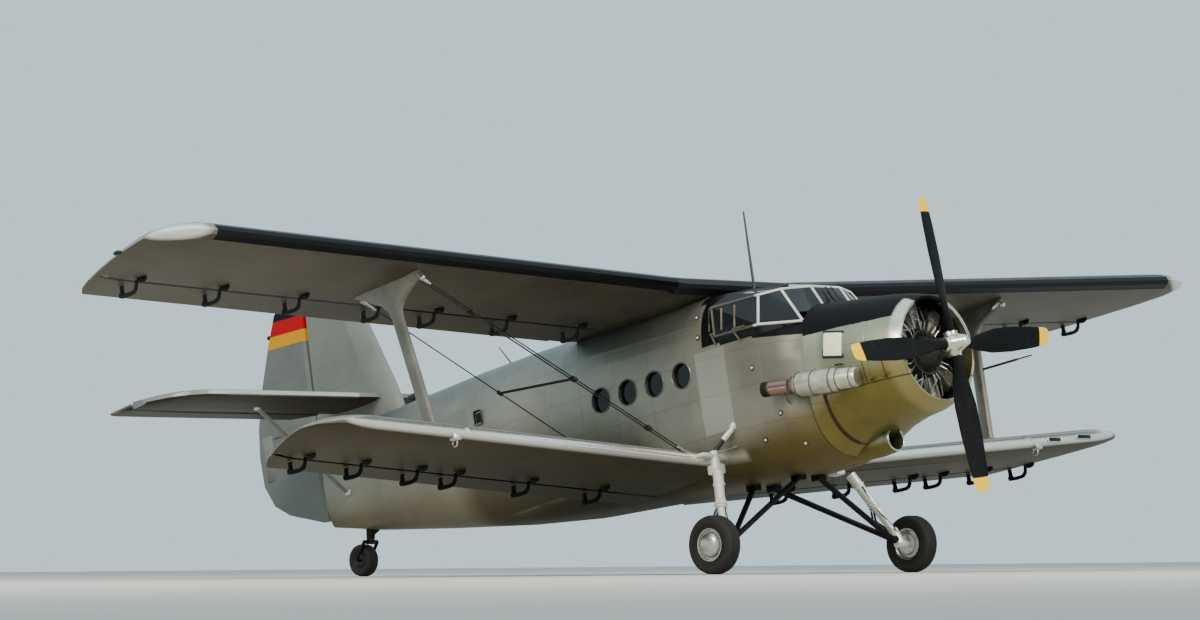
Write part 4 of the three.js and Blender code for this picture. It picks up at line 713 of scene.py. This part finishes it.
windowBuild = {
    "radius": 0.158, "z": 2.313,
    "profile": ((0.012, -0.004), (0.012, 0.004), (0.004, 0.009), (-0.005, 0.004), (-0.005, -0.004),
                (0.012, -0.004)),
    # body, (x, y) of each window, lean
    "cabin": ("airframe", ((-0.958, 0.898), (-1.431, 0.898), (-1.904, 0.898), (-2.377, 0.898)), 0.0),
    "cargo": ("cargo_door", ((-3.065, 0.895855),), 0.035),
    "entry": ("passenger_door", ((-3.765, 0.872755),), 0.035),
}


def buildWindowRims(label, name, side):
    body, places, lean = windowBuild[label]
    rims = bmesh.new()
    profile = [(windowBuild["radius"] + radius, height) for radius, height in windowBuild["profile"]]
    for x, y in places:
        addSpun(rims, profile, (x, side * y, windowBuild["z"]), (-lean, side, 0), 40)
    finishPiece(rims, "windowRims_" + label + "_" + name, "strut", body)


for name, side in sides:
    buildWindowRims("cabin", name, side)
for label in ("cargo", "entry"):
    buildWindowRims(label, "left", 1)
print("window rims made")

# Cowling, exhaust and nose fittings

noseBuild = {
    "lip": (2.398, 0, 1.914), "lipRadius": 0.64, "lipTube": 0.013,
    "exhaustFrom": (0.62, -1.03, 1.80), "exhaustTo": (1.80, -0.83, 1.69),
    "exhaustBands": ((0.085, 0.0), (0.100, 0.30), (0.153, 0.40), (0.153, 0.62), (0.155, 0.885), (0.134, 0.97),
                     (0.13, 1.16)),  # radius, place along the pipe
    "exhaustStay": ((0.74, -0.885, 1.60), (0.76, -0.95, 1.64), (0.78, -0.99, 1.71)),
    "cover": ((1.335, -0.752, 2.325), (1.60, -0.738, 2.270), (1.588, -0.793, 1.990), (1.325, -0.808, 2.045)),
    "coverThick": 0.045, "coverSunk": 0.02, "shadowWidth": 0.19, "shadowThick": 0.034, "shadowSunk": 0.03,
    "grabHandle": ((1.50, -0.80, 1.90), (1.50, -0.84, 1.90), (1.58, -0.838, 1.89), (1.58, -0.79, 1.89)),
    "lugs": (((0.544, 0.857, 1.522), (0.1, 1, -0.1)), ((0.205, 0.822, 1.263), (0.1, 0.92, -0.38)),
             ((0.728, 0.698, 1.116), (0.29, 0.76, -0.59)), ((0.211, 0.886, 2.149), (0, 1, 0)),
             ((-0.647, 0.803, 2.969), (0, 0.92, 0.39)), ((-0.61, 0.877, 2.708), (0, 1, 0.2))),
    "lugPlate": ((0, -0.01), (0.034, -0.01), (0.034, 0.004), (0, 0.004)),
    "lugBoss": ((0, 0), (0.024, 0), (0.024, 0.006), (0.018, 0.018), (0.008, 0.025), (0, 0.026)),
    "latches": 5, "latchFrom": (1.36, 0.806, 1.62), "latchStep": (0.2, -0.0217, 0),
    "latchSize": (0.05, 0.014, 0.022),
    "slats": 7, "slatPitch": 0.035, "slatAt": (1.385, 0, 1.0), "slatReach": 0.124,
    "ductRim": (1.542, 0, 1.0), "ductRadius": 0.138,
}


def buildNoseFittings():
    n = noseBuild
    lip, bands, cover, bright, dark = (bmesh.new() for k in range(5))
    addRing(lip, n["lip"], forward, n["lipRadius"], n["lipTube"], 72, 10)
    finishPiece(lip, "cowlLip", "cowl")
    start = Vector(n["exhaustFrom"])
    along = (Vector(n["exhaustTo"]) - start).normalized()
    for radius, place in n["exhaustBands"]:
        addRing(bands, start + along * place, along, radius, 0.006, 28, 6)
    addTube(bands, n["exhaustStay"], 0.012, 8)
    finishPiece(bands, "exhaustBands", "dullBars")
    # raised cover on the starboard cowling, with a dark sheet round it as its painted shadow
    corners = [Vector(corner) for corner in n["cover"]]
    outward = (corners[1] - corners[0]).cross(corners[3] - corners[0]).normalized()
    if outward.y > 0:
        outward = -outward
    addSlab(cover, corners, outward, n["coverSunk"], n["coverThick"])
    bmesh.ops.bevel(cover, geom=list(cover.edges), offset=0.008, affect="EDGES", segments=2, profile=0.5,
                    material=-1)
    finishPiece(cover, "cowlCover", "coverSheet")
    middle = sum(corners, Vector()) / 4
    # painted shadow: a dark sheet a little larger than the cover, sunk behind it
    coverShadow = [corner + (corner - middle) * n["shadowWidth"] for corner in corners]
    addSlab(dark, coverShadow, outward, n["shadowSunk"], n["shadowThick"])
    addTube(dark, n["grabHandle"], 0.009, 6)
    for name, side in sides:
        for place, direction in n["lugs"]:
            at, facing = mirrored(place, side), mirrored(direction, side)
            addSpun(dark, n["lugPlate"], at, facing, 16)
            addSpun(bright, n["lugBoss"], at, facing, 14)
        for k in range(n["latches"]):  # along the split of the lower cowling
            at = Vector(n["latchFrom"]) + Vector(n["latchStep"]) * k
            addBlock(dark, mirrored(at, side), n["latchSize"], bevel=0.003)
    for k in range(n["slats"]):  # in the mouth of the oil cooler duct
        y = n["slatPitch"] * (k - (n["slats"] - 1) / 2)
        reach = math.sqrt(n["slatReach"] ** 2 - y * y)
        addBlock(dark, Vector(n["slatAt"]) + Vector((0, y, 0)), (0.05, 0.004, 2 * reach))
    addRing(bright, n["ductRim"], forward, n["ductRadius"], 0.009, 36, 8)
    finishPiece(bright, "noseBrightwork", "brightMetal")
    finishPiece(dark, "noseFittings", "darkSteel")


buildNoseFittings()
print("nose fittings made")

# Cockpit roof, sliding frames of the bulged side windows, wipers

cockpitBuild = {
    "bars": (((-0.47, 0.745, 3.05), (-0.41, 0.872, 2.74)), ((0.085, 0.892, 2.96), (0.077, 0.94, 2.686)),
             ((-0.40, 0.88, 2.70), (0.24, 0.948, 2.66)), ((-0.10, 0.934, 2.96), (-0.125, 0.96, 2.695)),
             ((-0.38, 0.88, 2.70), (-0.32, 0.893, 2.56)), ((0.04, 0.948, 2.66), (0.10, 0.905, 2.52)),
             ((-0.46, 0.76, 3.03), (-0.22, 0.955, 3.0))),
    "barRadius": 0.014,
    "roofLift": 0.012, "roofThick": 0.006,
    "sideRoof": ((0.44, 0.25, 3.135), (-0.249, 0.25, 3.235), (-0.249, 0.64, 3.17), (-0.249, 0.95, 3.0),
                 (0.40, 0.79, 3.015)),
    "crownRoof": ((0.44, -0.25, 3.135), (0.44, 0.25, 3.135), (-0.249, 0.25, 3.235), (-0.249, -0.25, 3.235)),
    "wiperPivot": (0.985, 0.16, 2.765), "wiperArm": (0.90, 0.05, 2.93), "wiperBlade": (0.012, 0.012, 0.26),
    "wiperLean": -0.55,
}


def buildCockpitRoof():
    c = cockpitBuild
    roof, bars, wipers = bmesh.new(), bmesh.new(), bmesh.new()
    lift = Vector((0, 0, c["roofLift"]))
    for corners, side in ((c["sideRoof"], -1), (c["sideRoof"], 1), (c["crownRoof"], 1)):
        roof.faces.new([roof.verts.new(mirrored(corner, side) + lift) for corner in corners])
    bmesh.ops.remove_doubles(roof, verts=roof.verts, dist=0.001)
    bmesh.ops.recalc_face_normals(roof, faces=roof.faces)
    bmesh.ops.solidify(roof, geom=list(roof.faces), thickness=c["roofThick"])
    finishPiece(roof, "cockpitRoof", "roofPaint")
    for name, side in sides:
        for start, end in c["bars"]:
            addRod(bars, mirrored(start, side), mirrored(end, side), c["barRadius"], segments=8)
        pivot, arm = mirrored(c["wiperPivot"], side), mirrored(c["wiperArm"], side)
        addRod(wipers, pivot, pivot + Vector((-0.02, 0, 0.03)), 0.014, segments=10)
        addRod(wipers, pivot + Vector((-0.015, 0, 0.03)), arm, 0.006, segments=6)
        addBlock(wipers, arm, c["wiperBlade"], Matrix.Rotation(c["wiperLean"], 3, "Y"))
    finishPiece(bars, "sideWindowBars", "dullBars")
    finishPiece(wipers, "wipers", "darkSteel")


buildCockpitRoof()
print("cockpit made")

# Rigging: second wire of each flying pair, spreader bars, end fittings, bosses at the strut

riggingBuild = {
    "flyingWire": ((-0.86, 5.174, 3.40), (-0.56, 1.38, 1.25)),
    "rearWire": ((-1.9, 5.174, 3.36), (-1.75, 1.39, 1.25)),
    "spreader": (0.57, 0.53), "spreaderRadius": 0.016, "secondWire": 0.05, "wireRadius": 0.009,
    "clamps": (0.2, 0.85),  # shares of the flying wire
    # wire, share where the fork starts, end that it runs into
    "forks": (("flyingWire", 0.97, 1), ("rearWire", 0.965, 1), ("flyingWire", 0.03, 0), ("rearWire", 0.04, 0)),
    # profile, place, direction, steps
    "bosses": ((((0, -0.05), (0.035, -0.05), (0.035, 0.03), (0.022, 0.045), (0, 0.048)),
                (-0.80, 5.175, 3.375), (0.6, 0, -0.8), 18),
               (((0, -0.02), (0.085, -0.02), (0.08, 0.01), (0.05, 0.03), (0, 0.036)),
                (-0.60, 5.00, 1.515), (0.4, 0, 0.9), 20)),
    "tieDown": (-0.63, 5.17, 1.352), "drain": (-0.60, 5.18, 1.415), "drainSize": (0.10, 0.12, 0.07),
}


def alongWire(name, share, side):
    start, end = (mirrored(place, side) for place in riggingBuild[name])
    return start.lerp(end, share)


def buildRigging(name, side):
    r = riggingBuild
    wires, ends = bmesh.new(), bmesh.new()
    beside = Vector((-r["secondWire"], 0, 0))
    front, rear = r["spreader"]
    addRod(wires, alongWire("flyingWire", 0.02, side) + beside, alongWire("flyingWire", 0.99, side) + beside,
           r["wireRadius"], segments=8)
    addRod(wires, alongWire("flyingWire", front, side), alongWire("rearWire", rear, side), r["spreaderRadius"])
    clamps = [("flyingWire", share) for share in (front, *r["clamps"])]
    for wire, share in [*clamps, ("rearWire", rear)]:
        at = alongWire(wire, share, side)
        half = (alongWire(wire, 1, side) - alongWire(wire, 0, side)).normalized() * 0.035
        addRod(wires, at - half, at + half, 0.024, segments=10)
        if wire == "flyingWire":
            addRod(wires, at - half + beside, at + half + beside, 0.02, segments=10)
            addBlock(wires, at + beside / 2, (r["secondWire"], 0.02, 0.03))
    for wire, share, into in r["forks"]:
        at, end = alongWire(wire, share, side), alongWire(wire, into, side)
        addRod(ends, at, at.lerp(end, 0.92), 0.022, 0.03)
        addRod(ends, at, at.lerp(end, -0.5), 0.022, 0.014)
    finishPiece(wires, "spreaderBar_" + name, "wire")
    for profile, place, direction, steps in r["bosses"]:
        addSpun(ends, profile, mirrored(place, side), direction, steps)
    addRing(ends, mirrored(r["tieDown"], side), (0, 1, 0), 0.04, 0.009, 24, 8)
    addBlock(ends, mirrored(r["drain"], side), r["drainSize"], bevel=0.012)
    finishPiece(ends, "wireEnds_" + name, "brightMetal")


# Hinge feet: a rounded housing over the front foot of each hinge arm, under the skin

hingeBuild = {
    "upper": {"ys": (1.345, 2.545, 3.745, 4.645, 5.885, 7.105, 8.335), "x": -2.065, "z": 3.1267,
              "rise": 0.0496},
    "lower": {"ys": (1.655, 2.845, 4.035, 4.645, 5.525, 6.385), "x": -1.77, "z": 0.9686, "rise": 0.0734},
    "radii": (0.085, 0.034, 0.05),
}


def buildHingeFeet(name, side):
    for wing in ("upper", "lower"):
        feet, h = bmesh.new(), hingeBuild[wing]
        for y in h["ys"]:
            addBall(feet, (h["x"], side * y, h["z"] + h["rise"] * y), hingeBuild["radii"])
        finishPiece(feet, wing + "HingeFeet_" + name, "black_steel")


for name, side in sides:
    buildRigging(name, side)
    buildHingeFeet(name, side)

# Lamps in the port lower wing and at the tips, pitot tube, aerials

lampBuild = {
    "landing": ((-0.545, 5.465, 1.50), (-0.545, 6.07, 1.545)), "landingWide": (0.25, 0.28),
    "tips": (("right", -1, "#0d2f20"), ("left", 1, "#5a1414")), "tipAt": (-1.60, 9.045, 3.70),
    "tipRadii": (0.07, 0.035, 0.028),
    "probes": (((-1.22, 5.075, 2.58), (-0.62, 5.075, 2.58), 0.016, 0.016, 12),  # start, end, radii, segments
               ((-0.62, 5.075, 2.58), (-0.36, 5.075, 2.58), 0.011, 0.009, 12),
               ((-4.70, 0, 3.26), (-4.95, 0, 3.60), 0.012, 0.006, 10),
               ((-0.372, 0, 3.20), (-0.361, 0, 4.27), 0.021, 0.011, 12),  # sleeve round the mast
               ((-6.62, 0, 3.20), (-6.62, 0, 3.30), 0.03, 0.03, 12)),
    "pod": (-6.62, 0, 3.32), "podRadii": (0.17, 0.05, 0.05),
}


def buildWingLamps():
    lamps, cases, probes = bmesh.new(), bmesh.new(), bmesh.new()
    for place, wide in zip(lampBuild["landing"], lampBuild["landingWide"]):
        addBlock(cases, place, (0.055, wide + 0.03, 0.075), bevel=0.02)
        addBlock(lamps, Vector(place) + forward * 0.013, (0.055, wide - 0.02, 0.052), bevel=0.018)
    finishPiece(cases, "lampFrames", "brightMetal")
    finishPiece(lamps, "landingLamps", "glass")
    for probe in lampBuild["probes"]:
        addRod(probes, *probe)
    addBall(probes, lampBuild["pod"], lampBuild["podRadii"], 18, 10)
    finishPiece(probes, "probesAndAerials", "antenna")
    for name, side, hexColour in lampBuild["tips"]:
        tip, key = bmesh.new(), "tipLamp_" + name
        addBall(tip, mirrored(lampBuild["tipAt"], side), lampBuild["tipRadii"], 16, 10)
        materials[key] = buildGlass(key, (hexColour, hexColour), 0.3)
        finishPiece(tip, key, key)


buildWingLamps()
print("rigging and wing fittings made")

# Landing gear: collars, upper fittings, torque links and brake hoses

gearBuild = {
    "top": (-0.32, 1.18, 0.96), "elbow": (-0.03, 1.545, 0.12), "fuselagePoint": (-0.25, 0.885, 1.50),
    "overEdge": (-0.44, 1.07, 1.26),
    "sleeve": 0.26, "sleeveRadii": (0.05, 0.062), "cuffDrop": 0.23, "cuffSize": (0.17, 0.16, 0.12),
    "plateShift": (-0.02, 0.05, -0.055), "plateSize": (0.12, 0.36, 0.05), "plateTurn": 0.07,
    "stayRadius": 0.026, "footRadius": 0.036, "footStep": (0.02, -0.02, 0.06), "footRadii": (0.05, 0.04),
    # share of the leg, radius
    "collars": ((0.18, 0.065), (0.46, 0.064), (0.5, 0.068), (0.54, 0.06), (0.9, 0.05)),
    "links": (0.52, 0.92), "linkShift": 0.025, "linkBack": -0.045, "kneeBack": -0.16, "kneeHalf": 0.04,
    "hose": (0.2, 0.35, 0.5, 0.62, 0.75, 0.88), "hoseEnd": (0.03, 1.60, 0.06),
}


def buildGearFittings(name, side):
    g = gearBuild
    top, elbow, skin, over = (mirrored(g[key], side) for key in ("top", "elbow", "fuselagePoint", "overEdge"))
    bright, dark = bmesh.new(), bmesh.new()
    addRod(bright, over, over - Vector((0, 0, g["sleeve"])), *g["sleeveRadii"], 16)
    addBlock(bright, over - Vector((0, 0, g["cuffDrop"])), g["cuffSize"], bevel=0.025)
    addBlock(bright, over + mirrored(g["plateShift"], side), g["plateSize"],
             Matrix.Rotation(side * g["plateTurn"], 3, "X"), 0.02)
    addRod(dark, over - Vector((0, 0, 0.02)), over.lerp(skin, 0.62), g["stayRadius"])
    addRod(bright, over.lerp(skin, 0.5), skin, g["footRadius"], segments=14)
    addRod(bright, skin, skin + mirrored(g["footStep"], side), *g["footRadii"], 14)
    for share, radius in g["collars"]:
        addRing(bright, top.lerp(elbow, share), elbow - top, radius, 0.012, 28, 6)
    upper, lower = (top.lerp(elbow, share) for share in g["links"])
    knee = (upper + lower) / 2 + forward * g["kneeBack"]
    for shift in (Vector((0, -g["linkShift"], 0)), Vector((0, g["linkShift"], 0))):
        for end in (upper, lower):
            addRod(dark, end + forward * g["linkBack"] + shift, knee + shift, 0.014, segments=8)
    pin = Vector((0, g["kneeHalf"], 0))
    addRod(dark, knee - pin, knee + pin, 0.016, segments=8)
    hose = [top.lerp(elbow, share) + Vector((0.055 + 0.02 * math.sin(share * 9), -side * 0.03, 0))
            for share in g["hose"]]
    addTube(dark, hose + [mirrored(g["hoseEnd"], side)], 0.008, 6)
    finishPiece(bright, "legFittings_" + name, "leg")
    finishPiece(dark, "legLinks_" + name, "darkSteel")


for name, side in sides:
    buildGearFittings(name, side)
print("gear fittings made")

# Rear side panes, door handle and latches

hatchBuild = {
    "pane": (-4.665, 0.808, 2.59), "paneSize": (0.15, 0.02, 0.17), "paneTurn": 0.09,
    "rim": (-4.665, 0.806, 2.59), "rimSize": (0.18, 0.016, 0.20),
    "handle": (-4.10, 0.872, 2.02), "handleSize": (0.14, 0.02, 0.06),
    "handleRods": (((-4.08, 0.88, 2.02), (-4.08, 0.925, 2.02), 0.012),
                   ((-4.085, 0.92, 2.02), (-3.97, 0.926, 2.02), 0.013)),
    "latches": ((-2.95, 0.903, 1.62), (-4.23, 0.858, 1.62)), "latchSize": (0.07, 0.02, 0.12),
    "latchPin": ((0, 0.002, 0.04), (0, 0.027, -0.02)),
}


def buildHatches():
    h = hatchBuild
    panes, rims, handles, latches = (bmesh.new() for k in range(4))
    for name, side in sides:
        turn = Matrix.Rotation(side * h["paneTurn"], 3, "Z")
        addBlock(panes, mirrored(h["pane"], side), h["paneSize"], turn, 0.03)
        addBlock(rims, mirrored(h["rim"], side), h["rimSize"], turn, 0.03)
    # the small rear panes are opaque black gloss plates: painted shade of the unlit inside behind them
    finishPiece(panes, "rearPanes", "slat")
    finishPiece(rims, "rearPaneRims", "fuselage")
    addBlock(handles, h["handle"], h["handleSize"], bevel=0.008)
    for start, end, radius in h["handleRods"]:
        addRod(handles, start, end, radius, segments=10)
    finishPiece(handles, "entryHandle", "brightMetal", "passenger_door")
    for place in h["latches"]:
        addBlock(latches, place, h["latchSize"], bevel=0.008)
        low, high = (Vector(place) + Vector(step) for step in h["latchPin"])
        addRod(latches, low, high, 0.011, segments=10)
    finishPiece(latches, "cargoLatches", "brightMetal", "cargo_door")


# Rudder tab with its rods, tail lamp, ends of the tail struts

tailBuild = {
    "tab": (-9.60, 0, 3.10), "tabSize": (0.20, 0.052, 0.62),
    "tabRod": ((-9.50, 0.02, 3.35), (-9.25, 0.085, 3.35)),
    "lamp": (-9.33, 0, 4.72), "lampRadii": (0.04, 0.02, 0.03),
    "strutEnds": ((-7.88, 0.26, 2.28), (-7.73, 1.80, 3.38)), "strutEndSize": (0.10, 0.035, 0.07),
}


def buildTailDetails():
    t = tailBuild
    tab, lamp = bmesh.new(), bmesh.new()
    addBlock(tab, t["tab"], t["tabSize"], bevel=0.006)
    for name, side in sides:
        addRod(tab, *(mirrored(place, side) for place in t["tabRod"]), 0.007, segments=6)
    finishPiece(tab, "rudderTab", "tail", "rudder")
    addBall(lamp, t["lamp"], t["lampRadii"])
    finishPiece(lamp, "tailLamp", "glass", "rudder")
    for name, side in sides:
        ends = bmesh.new()
        for place in t["strutEnds"]:
            at = mirrored(place, side)
            addRod(ends, at - forward * 0.035, at + forward * 0.035, 0.03, segments=14)
            addBlock(ends, at, t["strutEndSize"], bevel=0.01)
        finishPiece(ends, "tailStrutEnds_" + name, "brightMetal")


buildHatches()
buildTailDetails()
print("tail details made")

# Camera, floor and light

cameraPlace = {
    "at": (45.65425164881113, -45.269398848351656, 0.11805903501681825),
    "forward": (-0.7079525977449861, 0.7044627567561116, 0.05035219647349612),
    "up": (0.04168460853763285, -0.02949167042036675, 0.9986954664896006),
    "lens": 152.02, "sensor": 36, "clipEnd": 400,
}
cameraData = bpy.data.cameras.new("photoCamera")
cameraData.sensor_fit = "HORIZONTAL"
cameraData.sensor_width = cameraPlace["sensor"]
cameraData.lens = cameraPlace["lens"]
cameraData.clip_end = cameraPlace["clipEnd"]
camera = addObject("photoCamera", cameraData)
ahead, above = Vector(cameraPlace["forward"]), Vector(cameraPlace["up"])
axes = Matrix((ahead.cross(above), above, -ahead)).transposed()
camera.matrix_world = Matrix.Translation(cameraPlace["at"]) @ axes.to_4x4()
bpy.context.scene.camera = camera

stageBuild = {
    "floor": ("#b9b7b0", "#c6c5bf"), "floorSize": 300, "floorDrop": 0.002, "floorRough": 0.85,
    "air": "#bcd2db", "airStrength": 1.4,
    "lights": (("keyLight", (8, -36, 22), (16, 12), 11000, "#fff0d8"),  # place, size, power, colour
               ("skyLight", (0, 0, 34), (30, 30), 2000, "#e4eef7"),
               ("frontLight", (34, 4, 20), (12, 10), 9000, "#fff3dc")),
    "lightsAimAt": (0, 0, 2),
}


def buildStage():
    bm = bmesh.new()
    bmesh.ops.create_grid(bm, x_segments=2, y_segments=2, size=stageBuild["floorSize"])
    mesh = bpy.data.meshes.new("studioFloor")
    bm.to_mesh(mesh)
    bm.free()
    floor = addObject("studioFloor", mesh)
    floor.location = (0, 0, -stageBuild["floorDrop"])
    material, tree = newMaterial("paintedConcrete")  # a pale matt floor that throws light under the wings
    place = addNode(tree, "TexCoord")
    noise = addNode(tree, "TexNoise", {"Scale": 0.6, "Detail": 6}, {"Vector": place.outputs["Object"]})
    one, two = (linear(colour) for colour in stageBuild["floor"])
    colour = addNode(tree, "Mix", {"data_type": "RGBA", 6: one, 7: two}, {0: noise}).outputs[2]
    shader = addNode(tree, "BsdfPrincipled", {"Roughness": stageBuild["floorRough"]}, {"Base Color": colour})
    addNode(tree, "OutputMaterial", links={0: shader})
    mesh.materials.append(material)
    world = bpy.data.worlds.new("studioAir")
    world.use_nodes = True
    background = world.node_tree.nodes["Background"]
    background.inputs[0].default_value = linear(stageBuild["air"])
    background.inputs[1].default_value = stageBuild["airStrength"]
    bpy.context.scene.world = world


def addLight(name, at, size, power, colour):
    data = bpy.data.lights.new(name, "AREA")
    data.shape = "RECTANGLE"
    data.size, data.size_y = size
    data.energy = power
    data.color = linear(colour)[:3]
    addObject(name, data).matrix_world = standing(at, Vector(at) - Vector(stageBuild["lightsAimAt"]))


buildStage()
for light in stageBuild["lights"]:
    addLight(*light)
print("stage made")
